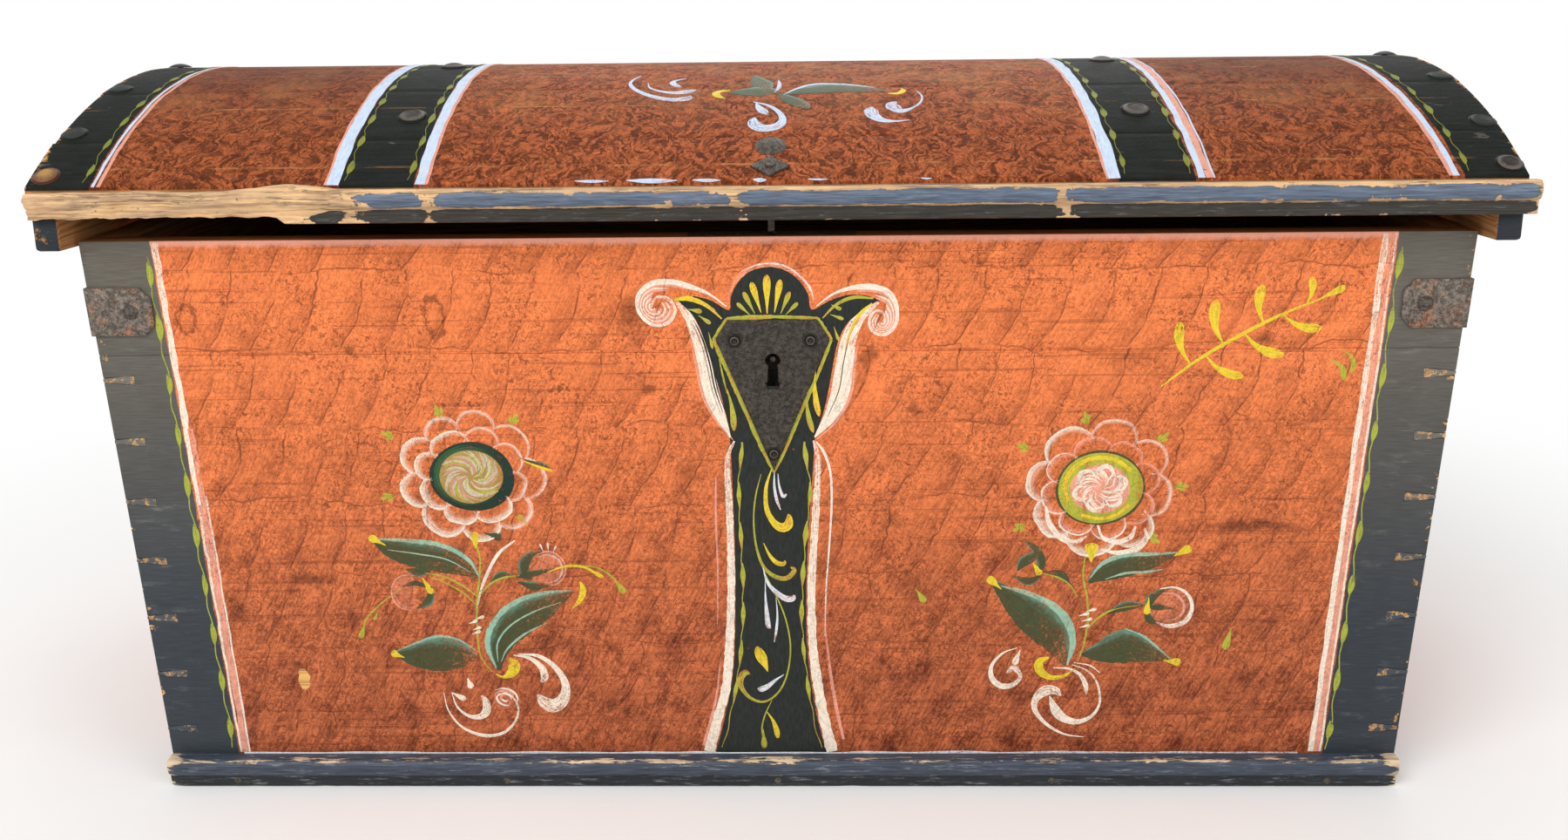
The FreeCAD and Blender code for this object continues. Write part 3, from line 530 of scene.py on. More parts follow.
def front_ground():
    bench = new_ground("front ground")
    place = bench.place()
    x, y, z = place.split()
    broad = place.noise(0.01, 3, 0.55)
    patch = place.noise(0.03, 4, 0.6)
    combs, lee = combed_lines(place, x, z)
    marks = squiggles(place)
    streak = place.stretch(0.03, 1, 1).noise(0.45, 4, 0.65)
    low = z.ease(440, 20)
    worm = worms(place, 0.085, 0.07) * (low * 0.5 + 0.35)
    slash = dashes(x, z, 1.0).ease(0.56, 0.63) * (low * 0.05 + 0.5)
    slash = slash * place.noise(0.05, 3, 0.6).ease(0.36, 0.54)
    lines = most(combs * 0.9, marks * 0.85, slash, worm)

    # The field turns from the lighter top colour to the darker low one: painted light and shade.
    base = low.mix(tone("field"), tone("field_low"))
    base = (broad * 0.3 + streak * 0.5 + patch * 0.5 + 0.42).shade(base)
    mottle = dashes(x, z + 300, 0.45).ease(0.42, 0.6)
    fine = place.noise(0.4, 2, 0.6).ease(0.44, 0.6)
    dark_blotches = place.noise(0.035, 4, 0.6).ease(0.46, 0.72)
    # These darker marks and blotches grow heavier towards the bottom.
    stain = mottle * (low * 0.2 + 0.16) + fine * (low * 0.06 + 0.12)
    stain = stain + dark_blotches * (low * 0.34 + 0.1) + lee * 0.22
    base = stain.mix(base, tone("graining"))
    thread = place.stretch(0.02, 1, 1).noise(0.33, 3, 0.6).ease(0.6, 0.66)
    base = (thread * 0.35).mix(base, tone("graining"))
    base = (lines * 0.84).mix(base, tone("graining", 0.8))
    spots = [(-115, 424, 15, 24, False), (-276, 424, 9, 19, True), (400, 402, 10, 9, False),
             (-348, 395, 7, 5, False), (-480, 423, 9, 12, True), (77, 389, 11, 13, False),
             (115, 344, 8, 7, False), (400, 240, 60, 7, False), (-400, 194, 30, 9, False),
             (-102, 362, 8, 6, False)]
    for at_x, at_z, wide, high, hollow in spots:
        base = (spot(place, x, z, at_x, at_z, wide, high, hollow) * 0.55).mix(base, tone("graining", 0.4))

    edge_wobble = (place.noise(0.05, 2) - 0.5) * 3
    left_edge = left_border(z) + edge_wobble
    right_edge = right_border(z) + edge_wobble
    band = most((left_edge - x).ease(-0.4, 0.8), (x - right_edge).ease(-0.4, 0.8))
    base = band.mix(base, black_paint(place, shaded_black(z)))

    chip = place.noise(0.11, 4, 0.65)
    rim = (abs(x) - (z * 0.0369 + 531)).ease(0, 11)
    chips = (chip + rim * 0.1).ease(0.7, 0.73) * rim
    top = (z + chip * 6).ease(484, 489)
    base = (top * (1 - band) * 0.75).mix(base, tone("pink"))
    scar = chip.ease(0.745, 0.765) * (1 - band)
    flake_rim = ((x + 416.5) / 5) ** 2 + ((z - 99) / 10.5) ** 2 + place.noise(0.16, 2) * 2
    chips = most(chips, scar, flake_rim.ease(2.02, 1.92))
    # Painted shade in the keyhole: the board's paint round the hole is darkened where the hole lies in
    # shade.
    keyhole = x ** 2 + (z - 384) ** 2
    base = keyhole.ease(700, 500).mix(base, tone("black_shape", 0.3))
    wood, inner = bare_woods(place)
    base = chips.mix(base, wood)
    bare = y.ease(front_face_y * 1000 + 0.6, front_face_y * 1000 + 1.4)
    base = bare.mix(base, inner)
    rough = patch * 0.25 + 0.4
    height = lines * -0.2 + streak * 0.6 - chips * 0.6
    bench.outputs("NodeGroupOutput", (base, rough, height, lines))


def black_paint(place, base, light=1.0):
    """Black paint with grey scuffs over a base colour."""
    scuff = place.stretch(0.25, 1, 1).noise(0.12, 4, 0.7).ease(0.55, 0.85)
    base = (scuff * 0.4).mix(base, (0.27, 0.26, 0.24, 1))
    fine = place.stretch(0.06, 1, 1).noise(0.8, 3)
    return (fine * (0.8 * light) + 0.55 * light).shade(base)


def shaded_black(z):
    """Black that is lighter and browner near the top and darker and bluer near the floor: painted light and
    shade.
    """
    return z.ease(120, 480).mix(tone("black_low"), tone("black"))


def lid_arc(y, z):
    """Millimetres along the dome from the lid's front edge, and the distance from its axis."""
    centre = dome_centre()
    dy = y - centre.y * 1000
    dz = z - centre.z * 1000
    angle = dy.calc("ARCTAN2", dz)
    start = dome_half_angle() + sizes().ajar
    arc = (angle + start) * (sizes().dome_radius * 1000)
    radius = (dy * dy + dz * dz) ** 0.5
    return arc, radius


def lid_ground():
    bench = new_ground("lid ground")
    place = bench.place()
    x, y, z = place.split()
    arc, radius = lid_arc(y, z)
    flat = x.join(arc, 0)
    broad = flat.noise(0.01, 3, 0.55)
    patch = flat.noise(0.05, 5, 0.68)
    streak = flat.stretch(0.06, 1, 1).noise(0.3, 4, 0.65)
    lean = flat.noise(0.03, 2).ease(0.44, 0.56)
    bent = flat.noise(0.04, 3, 0.6) * 46 + x
    leaning_right = dashes(bent, arc, 0.3) * lean
    leaning_left = dashes(bent * -1, arc + 700, 0.36) * (1 - lean)
    mottle = (leaning_right + leaning_left).ease(0.42, 0.6)
    worm = most(worms(flat, 0.07, 0.07), worms(flat.stretch(1, 1.3, 1), 0.12, 0.07))
    slash = dashes(x, arc, 0.6).ease(0.55, 0.63)
    scratch = flat.stretch(0.3, 1, 1).noise(0.07, 4, 0.72, 0.5).ease(0.64, 0.72)
    lines = most(worm * 0.85, slash * 0.7, scratch * 0.8)
    # The lid's middle is lighter than its sides: a painted sheen where the varnish catches the light.
    middle = abs(x).ease(360, 140)
    base = (middle * 0.22).mix(tone("lid_field"), tone("field_low", 0.86))
    base = (broad * 0.4 + streak * 0.7 + patch * 1.3 + 0.2).shade(base)
    base = (mottle * 0.74).mix(base, tone("lid_graining", 0.7))
    base = (lines * 0.7).mix(base, tone("lid_graining", 0.6))
    # Greyer, paler patches towards the crown: dust, and a painted sheen where the varnish catches the
    # light.
    dust_and_sheen = flat.noise(0.02, 4, 0.7).ease(0.42, 0.65) * arc.ease(90, 220) * 0.34
    base = dust_and_sheen.mix(base, tone("old_pine", 1.1))
    shadow = abs(x).ease(260, 420) * arc.ease(120, 260) * 0.5
    base = shadow.mix(base, tone("lid_graining", 1.3))

    off_crown = abs(arc - dome_length() / 2)
    wavy_x = x + (flat.noise(0.05, 2) - 0.5) * 3
    left = wavy_x.ease(-338, -337) * wavy_x.ease(-278, -279)
    slant = off_crown * -0.044 + wavy_x
    right = slant.ease(258, 259) * slant.ease(319, 318)
    left_end = wavy_x.ease(-535, -536)
    right_end = (off_crown * -0.035 + wavy_x).ease(526, 527)
    band = most(left, right, left_end, right_end)
    black = (streak * 0.9 + (patch * 0.8 - 0.25)).shade(tone("black_shape"))
    black = (scratch * 0.35).mix(black, tone("black", 1.6))
    base = band.mix(base, black)

    wear = flat.noise(0.1, 4, 0.68)
    scuff_line = most(*[abs(arc - seam).ease(1.9, 0.5) for seam in stave_seams()])
    broken = flat.stretch(0.2, 1, 1).noise(0.11, 5, 0.75)
    scuff_line = scuff_line * broken.ease(0.47, 0.6)
    front_rim = arc.ease(6, 0)
    torn = x.ease(-326, -375) * x.ease(-520, -430) * 15
    torn_edge = flat.noise(0.05, 3) * 9 + (torn - 9)
    tear = (torn_edge - arc).ease(-0.5, 1.0)
    chips = (wear + front_rim * 0.16).ease(0.7, 0.74)
    end_rim = abs(x).ease(579, 587)
    end_chips = (wear + end_rim * 0.1).ease(0.6, 0.66)
    wood, inner = bare_woods(place)
    base = (scuff_line * (band * -0.25 + 0.45)).mix(base, tone("old_pine", 1.4))
    bared = most(tear, chips * most(front_rim, 0.3), end_chips * end_rim)
    base = bared.mix(base, wood)
    bare = radius.ease(sizes().dome_radius * 1000 - 1.6, sizes().dome_radius * 1000 - 2.6)
    base = bare.mix(base, inner)
    rough = patch * 0.35 + 0.32
    height = lines * -0.45 + streak * 0.6 - bared * 0.6
    bench.outputs("NodeGroupOutput", (base, rough, height, lines * 0.35))


def end_boards_ground():
    bench = new_ground("ends ground")
    place = bench.place()
    x, y, z = place.split()
    flat = y.join(z, x)
    broad = flat.noise(0.01, 3)
    patch = flat.noise(0.035, 4, 0.6)
    combs, lee = combed_lines(flat, y, z)
    marks = squiggles(flat)
    lines = most(combs * 0.9, marks * 0.85, lee * 0.3)
    # Darker near the floor and lighter near the top: painted light and shade, as on the front.
    base = z.ease(10, 520).mix(tone("field_low"), tone("field", 0.85))
    base = (broad * 0.4 + patch * 0.4 + 0.6).shade(base)
    base = (lines * 0.74).mix(base, tone("graining"))
    side = abs(y)
    wavy = side + (flat.noise(0.05, 2) - 0.5) * 3
    line = wavy.ease(208, 208.8) * wavy.ease(214, 213.2)
    worn = flat.noise(0.3, 3).ease(0.3, 0.5)
    base = (line * worn).mix(base, tone("cream", 0.8))
    base = wavy.ease(217, 218).mix(base, black_paint(flat, shaded_black(z)))
    chip = flat.noise(0.1, 4, 0.66)
    rim = most(side.ease(270, 280), z.ease(476, 488), z.ease(12, 0))
    chips = (chip + rim * 0.12).ease(0.68, 0.72) * rim
    wood, inner = bare_woods(place, "Y")
    base = chips.mix(base, wood)
    skin = abs(x) - (z * 0.03689 + 542)
    base = skin.ease(-0.6, -1.4).mix(base, inner)
    pin_face = y.ease(front_face_y * 1000 + 1.6, front_face_y * 1000 + 0.6)
    pin_chips = place.noise(0.16, 4, 0.7).ease(0.5, 0.58)
    pin = (pin_chips * 0.6).mix(black_paint(place, shaded_black(z), 1.5), wood)
    base = pin_face.mix(base, pin)
    rough = chip * 0.25 + 0.4
    long_grain = flat.stretch(0.04, 1, 1).noise(0.5, 3)
    height = lines * -0.35 + long_grain * 0.5
    bench.outputs("NodeGroupOutput", (base, rough, height - chips * 0.5, lines))


def ground_finish(name, depth, shine):
    bench = new_finish(name + " paint")
    base, rough, height, _ = bench.group(name + " ground")
    bench.surface(base, rough, height, depth, Specular_IOR_Level=shine)


# Finishes

def brush_finish(where, name, paint, covering, streak, side_fade=False, second=None, under=None):
    """Brush paint that lets its ground, or the paint under it, show through between the bristle marks."""
    bench = new_finish("%s %s" % (where, name))
    base, rough, height, graining = bench.group(where + " ground")
    brush = bench.put("ShaderNodeUVMap", uv_map="brush")
    across = brush.split()[1]
    hairs = brush.stretch(0.7, 8, 1).noise(1.0, 4, 0.7)
    place = bench.place()
    flecks = place.noise(0.5, 3, 0.7)
    if under:
        base = (flecks * 0.6 + 0.7).shade(under)
    load = bench.attribute("load") * 0.14 + (0.3 - 0.5 * streak)
    amount = (hairs * streak + flecks * 0.35 + load).ease(0.4, 0.53) * covering
    chip = 0.84 - 0.24 * streak
    amount = amount * place.noise(0.24, 4, 0.7).ease(chip + 0.04, chip - 0.05)
    if side_fade:
        amount = amount * (across + hairs * 0.5).ease(0.4, 1.25)
    wet = paint
    if second:
        wet = (across + hairs * 0.5).ease(0.92, 1.38).mix(paint, second)
    wet = (hairs * 0.8 + 0.58).shade(wet)
    wet = (graining * 0.35).mix(wet, tone("graining"))
    bench.surface(amount.mix(base, wet), rough, height + hairs * 0.5, 0.00025, Specular_IOR_Level=0.12)


def pillar_finish(name, ground):
    """Solid black paint, brushed and worn through to its ground in small chips."""
    bench = new_finish(name)
    base, rough, height, _ = bench.group(ground)
    place = bench.place()
    amount = place.noise(0.16, 4, 0.7).ease(0.75, 0.71)
    brushed = place.stretch(1, 1, 0.25).noise(0.5, 3, 0.65)
    black = (brushed * 1.5 + 0.25).shade(tone("black_shape"))
    bench.surface(amount.mix(base, black), rough, height + brushed, 0.0002, Specular_IOR_Level=0.1)


def bare_pine_finish(name):
    bench = new_finish(name)
    base, grain = pine(bench.place(), tone("old_pine"), tone("old_pine", 0.4))
    bench.surface(base, grain * 0.15 + 0.6, grain, 0.0003)


def moulding_finish(name, split_z, bared, blue, fascia, scuff):
    """Black below and blue-black above, bared to raw pine where the mesh is marked as worn. blue scales the
    bead's paint, a painted sheen that is strong on the lid's bead; the darker fascia is its own paint with
    painted shade under the bead.
    """
    bench = new_finish(name)
    place = bench.place()
    z = place.split()[2]
    wear = bench.attribute("wear")
    long_noise = place.stretch(0.14, 1, 1).noise(0.22, 5, 0.74)
    patches = place.stretch(1, 0.4, 0.4).noise(0.028, 4, 0.6).ease(0.54, 0.66) * bared
    fine = place.stretch(0.05, 1, 1).noise(0.9, 3)
    patch = place.stretch(0.4, 1, 1).noise(0.05, 4, 0.65)
    wood, grain = pine(place, tone("raw_pine", 0.90), tone("old_pine"))
    crack = place.stretch(0.03, 1, 1).noise(0.3, 4, 0.6, 0.4).ridge(0.035)
    crack = crack * place.stretch(0.2, 1, 1).noise(0.09, 3).ease(0.42, 0.6)
    wood = (crack * 0.75).mix(wood, tone("old_pine", 0.25))
    vein = place.stretch(0.04, 1, 1).noise(0.22, 4, 0.7).ease(0.44, 0.66)
    wood = (vein * 0.5).mix(wood, tone("old_pine", 0.75))
    holes = place.noise(0.3, 1).ease(0.74, 0.77)
    wood = holes.mix(wood, tone("old_pine", 0.15))
    wood = (patch * 1.3 + 0.33).shade(bench.mix(scuff, wood, tone("cream", 0.8)))
    # The blue-black is scaled by blue, above 1 a painted sheen that is strong on the lid's bead; the fascia
    # below stays darker, its own paint and painted shade under the bead.
    paint = z.ease(split_z - 0.8, split_z + 0.8).mix(fascia, tone("blue_black", blue))
    paint = (fine * 2.2 - 0.1).shade(paint)
    scuffed = place.stretch(0.12, 1, 1).noise(0.35, 5, 0.75).ease(0.54, 0.72)
    paint = (scuffed * scuff).mix(paint, tone("cool_white", 0.5))
    worn = wear + patches * wear.ease(-0.3, 0.25)
    amount = (long_noise + worn).ease(0.85, 0.9)
    base = amount.mix(paint, wood)
    rough = amount * 0.3 + 0.4
    height = grain * 0.5 - amount - most(crack, holes) * amount * 0.9
    bench.surface(base, rough, height, 0.0005, Specular_IOR_Level=0.3)


def cheek_finish(name, bared):
    """Black paint outside, rubbed through in patches, and bare pine within."""
    bench = new_finish(name)
    place = bench.place()
    x = place.split()[0]
    paint = black_paint(place, tone("black_low"), 0.6)
    wood, grain = pine(place, tone("old_pine"), tone("old_pine", 0.4), "Y")
    rub = place.stretch(1, 0.3, 1).noise(0.07, 5, 0.74)
    inside = abs(x).ease(565.8, 564.8)
    amount = most((rub + bared).ease(0.62, 0.68), inside)
    height = grain * 0.5 - amount * 0.6
    bench.surface(amount.mix(paint, wood), 0.6, height, 0.0006, Specular_IOR_Level=0.2)


def iron_finish(name, shade, rust_amount, nails=()):
    """Forged iron: pitted, dark, with brown rust in patches and painted shade round the nails given as (x,
    z).
    """
    bench = new_finish(name)
    place = bench.place()
    x, _, z = place.split()
    patch = place.noise(0.06, 4, 0.65)
    pits = place.noise(0.3, 4, 0.7).ease(0.36, 0.64)
    grit = place.noise(0.75, 2, 0.6)
    rust = patch.ease(0.62 - rust_amount, 0.85 - rust_amount)
    base = rust.mix(tone("iron", shade), tone("rust", shade))
    base = (pits + 0.5).shade(base)
    base = (grit.ease(0.6, 0.7) * 0.6).mix(base, tone("iron", shade * 2.4))
    base = (grit.ease(0.42, 0.34) * 0.7).mix(base, tone("iron", shade * 0.25))
    # A dark ring round each nail head: painted shade where the head meets the plate.
    for nail_x, nail_z in nails:
        away = ((x - nail_x) ** 2 + (z - nail_z) ** 2) ** 0.5
        base = (away.ease(7.5, 5.0) * 0.8).mix(base, tone("iron", shade * 0.15))
    rough = patch * 0.35 + 0.4
    height = pits * 0.5 + grit * 0.5
    bench.surface(base, rough, height, 0.0008, Metallic=0.35, Specular_IOR_Level=0.3)


class TRUNK_OT_finishes(bpy.types.Operator):
    """Mixes the paints and other finishes, and puts them on the CAD pieces that stay"""
    bl_idname = "trunk.finishes"
    bl_label = "Finishes"

    def execute(self, context):
        front_ground()
        lid_ground()
        end_boards_ground()
        ground_finish("front", depth=0.0003, shine=0.18)
        ground_finish("lid", depth=0.0004, shine=0.02)
        ground_finish("ends", depth=0.0003, shine=0.18)
        lid_bead_foot = swing(Vector((0, -0.309, 0.4945))).z * 1000
        # blue=2.3 paints a strong sheen on the lid's bead.
        moulding_finish("lid moulding", split_z=lid_bead_foot, bared=0.6, blue=2.3, fascia=tone("fascia"),
                        scuff=0.25)
        moulding_finish("base moulding", split_z=11, bared=0.1, blue=1.1, fascia=tone("black_low", 0.4),
                        scuff=0.55)
        cheek_finish("left cheek", bared=0.07)
        cheek_finish("right cheek", bared=-0.02)
        bare_pine_finish("bare pine")
        iron_finish("plain iron", shade=0.9, rust_amount=0.05)
        iron_finish("rusty iron", shade=1.5, rust_amount=0.14)
        plate_nails = ((-31, 402.8), (31, 402.8), (0, 306))
        iron_finish("dark iron", shade=0.5, rust_amount=-0.04, nails=plate_nails)
        head_finish("nail iron", shade=0.8)
        head_finish("lid nail iron", shade=0.8, painted=-272)
        self.brush_paints()
        planks = ("lid_front_rail", "lid_back_rail", "bottom_plank_1", "bottom_plank_2", "bottom_plank_3")
        for name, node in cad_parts.items():
            cover(node, "bare pine" if name in planks else "plain iron")
        return {"FINISHED"}

    def brush_paints(self):
        """The brush paints of each ground: name, colour, how well it covers and how streaky it is."""
        recipes = {
            "front": (("cream", "cream", 0.94, 0.5), ("white", "cool_white", 0.94, 0.55),
                      ("pink", "pink", 0.75, 0.7), ("wash", "pink", 0.14, 0.9),
                      ("yellow", "yellow", 0.95, 0.45), ("olive", "olive", 0.9, 0.5),
                      ("teal", "teal", 0.8, 0.6), ("heart", "heart", 0.96, 0.5),
                      ("deep green", "deep_green", 1.0, 0.2)),
            "lid": (("white", "lid_white", 0.94, 0.55), ("pink", "pink", 0.75, 0.7),
                    ("yellow", "yellow", 0.95, 0.45)),
        }
        for where, rows in recipes.items():
            for name, paint, covering, streak in rows:
                brush_finish(where, name, tone(paint), covering, streak)
        brush_finish("lid", "olive", tone("olive", 0.55), 0.9, 0.5)
        for where in ("front", "lid"):
            brush_finish(where, "leaf", tone("leaf"), 0.95, 0.3, second=tone("teal", 0.5))
        brush_finish("front", "petal", tone("cream"), 0.75, 0.5, side_fade=True)
        brush_finish("front", "pale petal", tone("pink"), 0.6, 0.6, side_fade=True)
        brush_finish("front", "mid green", tone("mid_green"), 0.9, 0.6, under=tone("deep_green"))
        for paint in ("cream", "pink"):
            brush_finish("front", "heart " + paint, tone(paint, 0.72), 0.8, 0.9, under=tone("heart"))
        pillar_finish("front black", "front ground")


# Woodwork

class TRUNK_OT_boards(bpy.types.Operator):
    """Makes the body's boards and the lid's cheeks with rounded edges from the CAD boards"""
    bl_idname = "trunk.boards"
    bl_label = "Boards"

    def execute(self, context):
        rounding = sizes().board_rounding
        for name in ("front_upper_board", "front_lower_board"):
            finish_piece(softened(name, rounding), "chest", "front paint", "painted_front", name)
        for side in ("left", "right"):
            for part in ("upper", "lower"):
                name = "%s_end_%s_board" % (side, part)
                finish_piece(softened(name, rounding), "chest", "ends paint", "painted_ends", name)
            name = "lid_%s_cheek" % side
            finish_piece(softened(name, 0.003), "lid", side + " cheek", "lid_frame", name)
        for name in ("back_upper_board", "back_lower_board"):
            finish_piece(softened(name, rounding), "chest", "bare pine", "plain_back", name)
        return {"FINISHED"}


class TRUNK_OT_staves(bpy.types.Operator):
    """Bends seven planks over the lid, each a little uneven"""
    bl_idname = "trunk.staves"
    bl_label = "Lid staves"

    def execute(self, context):
        ends = [0] + stave_seams() + [dome_length()]
        for number, (low, high) in enumerate(zip(ends, ends[1:]), 1):
            self.stave(number, low, high)
        return {"FINISHED"}

    def stave(self, number, low, high):
        s = sizes()
        clear_selection()
        bpy.ops.mesh.primitive_grid_add(x_subdivisions=72, y_subdivisions=10, size=1)
        piece = bpy.context.object
        piece.name = "worn_stave_%d" % number
        bpy.ops.object.mode_set(mode="EDIT")
        bpy.ops.transform.resize(value=(2 * stave_end_x, (high - low) / 1000, 1))
        leave_edit()
        plank = piece.modifiers.new("plank", "SOLIDIFY")
        plank.thickness = s.stave_thickness
        plank.offset = -1
        round_over = piece.modifiers.new("round over", "BEVEL")
        round_over.width = 0.0006
        round_over.segments = 2
        round_over.limit_method = "ANGLE"
        for modifier in ("plank", "round over"):
            bpy.ops.object.modifier_apply(modifier=modifier)
        self.bend(piece.data, low, high, number)
        edit(piece)
        merge_doubles(0.00001)
        leave_edit(outwards=True)
        smooth(piece, 40)
        finish_piece(piece, "lid", "lid paint", "painted_lid", "lid_stave_%d" % number)

    def bend(self, mesh, low, high, number):
        """Wraps a flat plank over the dome; its front and back ends are cut upright."""
        s = sizes()
        middle = (low + high) / 2
        chance = random.Random(number)
        trim = [chance.uniform(0, 2.0), chance.uniform(0, 2.0)]
        for corner in mesh.vertices:
            x = corner.co.x * 1000
            arc = middle + corner.co.y * 1000
            out = corner.co.z * 1000
            if abs(x) > stave_end_x * 1000 - 3:
                x -= math.copysign(trim[x > 0], x)
            angle_end = math.asin(s.dome_half_depth / (s.dome_radius + out / 1000))
            slide = (angle_end - dome_half_angle()) * s.dome_radius * 1000
            if number == 1:
                arc -= slide * max(0, 1 - (arc - low) / 20)
            if number == s.stave_count:
                arc += slide * max(0, 1 - (high - arc) / 20)
            inside = min(max(arc, low + 0.2), high - 0.2)
            lift = stave_lift(x, inside) - stave_lift(x, arc)
            cup = -0.25 * math.sin(math.pi * (inside - low) / (high - low))
            corner.co = lid_place(x, arc, out + lift + cup)


def moulding_profile(thickness, flat, height, setback):
    """A bead over a flat as (out, up, wear) points, in millimetres."""
    radius = (height - flat) / 2
    face = thickness - setback
    points = [(0.0, 0.0, 0.0), (face - 1, 0.0, 0.22), (face, 0.8, 0.26)]
    points += [(face, flat * share, 0.04) for share in (0.2, 0.34, 0.48, 0.62, 0.76, 0.88)]
    for i in range(12):
        angle = math.radians(-85 + 170 * i / 11)
        worn = (0.44, 0.44, 0.36, 0.16, 0.08, 0.06, 0.06, 0.10, 0.32, 0.50, 0.58, 0.58)[i]
        points.append((face + setback * math.cos(angle), flat + radius + radius * math.sin(angle), worn))
    points += [(face - 1.5, height, 0.54), (0.0, height, 0.30), (0.0, height * 0.5, 0.0)]
    return points


def run_moulding(name, left, right, count, shape):
    """A closed bar along X. shape gives the points and wear of the section at each x."""
    clear_selection()
    around = len(shape(left))
    bpy.ops.mesh.primitive_grid_add(x_subdivisions=count, y_subdivisions=around, size=1)
    piece = bpy.context.object
    piece.name = name
    mesh = piece.data
    wear = mesh.attributes.new("wear", "FLOAT", "POINT")
    for index, corner in enumerate(mesh.vertices):
        share = corner.co.x + 0.5
        step = min(round((corner.co.y + 0.5) * around), around) % around
        x = left + (right - left) * share
        place, worn = shape(x)[step]
        corner.co = place
        wear.data[index].value = worn
    edit(piece)
    merge_doubles(0.000001)
    bpy.ops.mesh.select_all(action="DESELECT")
    bpy.ops.mesh.select_non_manifold()
    bpy.ops.mesh.edge_face_add()
    leave_edit(outwards=True)
    smooth(piece, 40)
    return piece


def rough_along(x, seed, pitch):
    return noise.fractal(Vector((x / pitch, seed, 0.3)), 0.9, 2.1, 4)


class TRUNK_OT_mouldings(bpy.types.Operator):
    """Runs the lid's front moulding, broken at the left, and the base moulding"""
    bl_idname = "trunk.mouldings"
    bl_label = "Mouldings"

    def execute(self, context):
        self.base()
        self.lid()
        return {"FINISHED"}

    def base(self):
        low, high = (Vector(corner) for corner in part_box("front_base_moulding"))
        profile = moulding_profile((high.y - low.y) * 1000, 11, (high.z - low.z) * 1000, 4)

        def section(x):
            points = []
            end = max(0.0, abs(x) - high.x * 1000 + 16) / 16
            for step, (out, up, worn) in enumerate(profile):
                chip = max(0.0, rough_along(x, step * 0.45, 30) - 0.3) * 7 * worn
                reach = out - chip - 1.5 * end * end if out > 0 else 0.0
                inside = x * (542 + 0.0369 * up) / 543
                spot = Vector((inside / 1000, high.y - max(0.0, reach) / 1000, low.z + up / 1000))
                points.append((spot, worn * 0.62 + 0.35 * end))
            return points

        piece = run_moulding("worn_base_moulding", -543, 543, 280, section)
        finish_piece(piece, "chest", "base moulding", "black_moulding", "front_base_moulding")

    def lid(self):
        flat = 11
        height = 26
        profile = moulding_profile(14, flat, height, 5)
        front = -(sizes().dome_half_depth - sizes().dome_mid_y) * 1000
        bottom = 483.5
        bead_break = -328
        break_tip = -381
        break_slope = 38
        end_wear_x = 583

        def section(x):
            points = []
            torn_bead = min(1.0, max(0.0, (bead_break - x + 9 * rough_along(x, 5.5, 14)) / 22))
            flat_left = flat * min(1.0, max(0.0, (x - break_tip) / break_slope))
            gone = min(1.0, max(0.0, (break_tip - x) / 5))
            hump = 5.0 * math.exp(-((x + 375) / 32) ** 2)
            end = max(0.0, abs(x) - end_wear_x) / 8
            for step, (out, up, worn) in enumerate(profile):
                chip = max(0.0, rough_along(x, step * 0.5, 28) - 0.30) * 7 * worn
                reach = max(0.0, out - chip)
                rise = up
                bare = torn_bead if up > flat else 0.0
                if up <= flat and x < break_tip + break_slope:
                    bare = min(1.0, max(0.0, (up - flat_left + 1.2) / 1.2))
                if bare > 0 and out > 0:
                    grooves = 1.5 * rough_along(x, up * 0.42, 60) + 0.9 * rough_along(x, up * 1.5, 12)
                    torn = 8.2 + 3.4 * math.cos((up - 17) / 11 * 1.3) + grooves
                    reach += bare * (min(torn, out + 0.5) - reach)
                    worn = worn + bare * 1.2
                if torn_bead > 0:
                    floor = gone * (5.2 + 1.8 * rough_along(x, 9.2, 16))
                    top = height + torn_bead * (hump - 0.6 + 0.9 * rough_along(x, 3.1, 22))
                    rise = floor + (top - floor) * up / height
                reach -= 1.8 * end * end if out > 0 else 0.0
                inside = max(x, -end_wear_x + 2 * rough_along(up, 2.2, 7))
                spot = Vector((inside / 1000, (front - max(0.0, reach)) / 1000, (bottom + rise) / 1000))
                points.append((swing(spot), worn + 0.4 * end))
            return points

        piece = run_moulding("worn_lid_moulding", -585, 591, 420, section)
        finish_piece(piece, "lid", "lid moulding", "black_moulding", "lid_front_moulding")


# Brush ornament. p holds the brushes by the names of their paints.

def flow(points, step):
    """A smooth line through points of (across, along, half width)."""
    spots = [Vector(point) for point in points]
    spots = [spots[0] * 2 - spots[1]] + spots + [spots[-1] * 2 - spots[-2]]
    line = []
    for a, b, c, d in zip(spots, spots[1:], spots[2:], spots[3:]):
        count = max(3, round((c.xy - b.xy).length / step))
        for i in range(count):
            t = i / count
            line.append((b * 2 + (c - a) * t + (a * 2 - b * 5 + c * 4 - d) * t * t
                         + (b * 3 - a - c * 3 + d) * t * t * t) / 2)
    line.append(spots[-2])
    return line


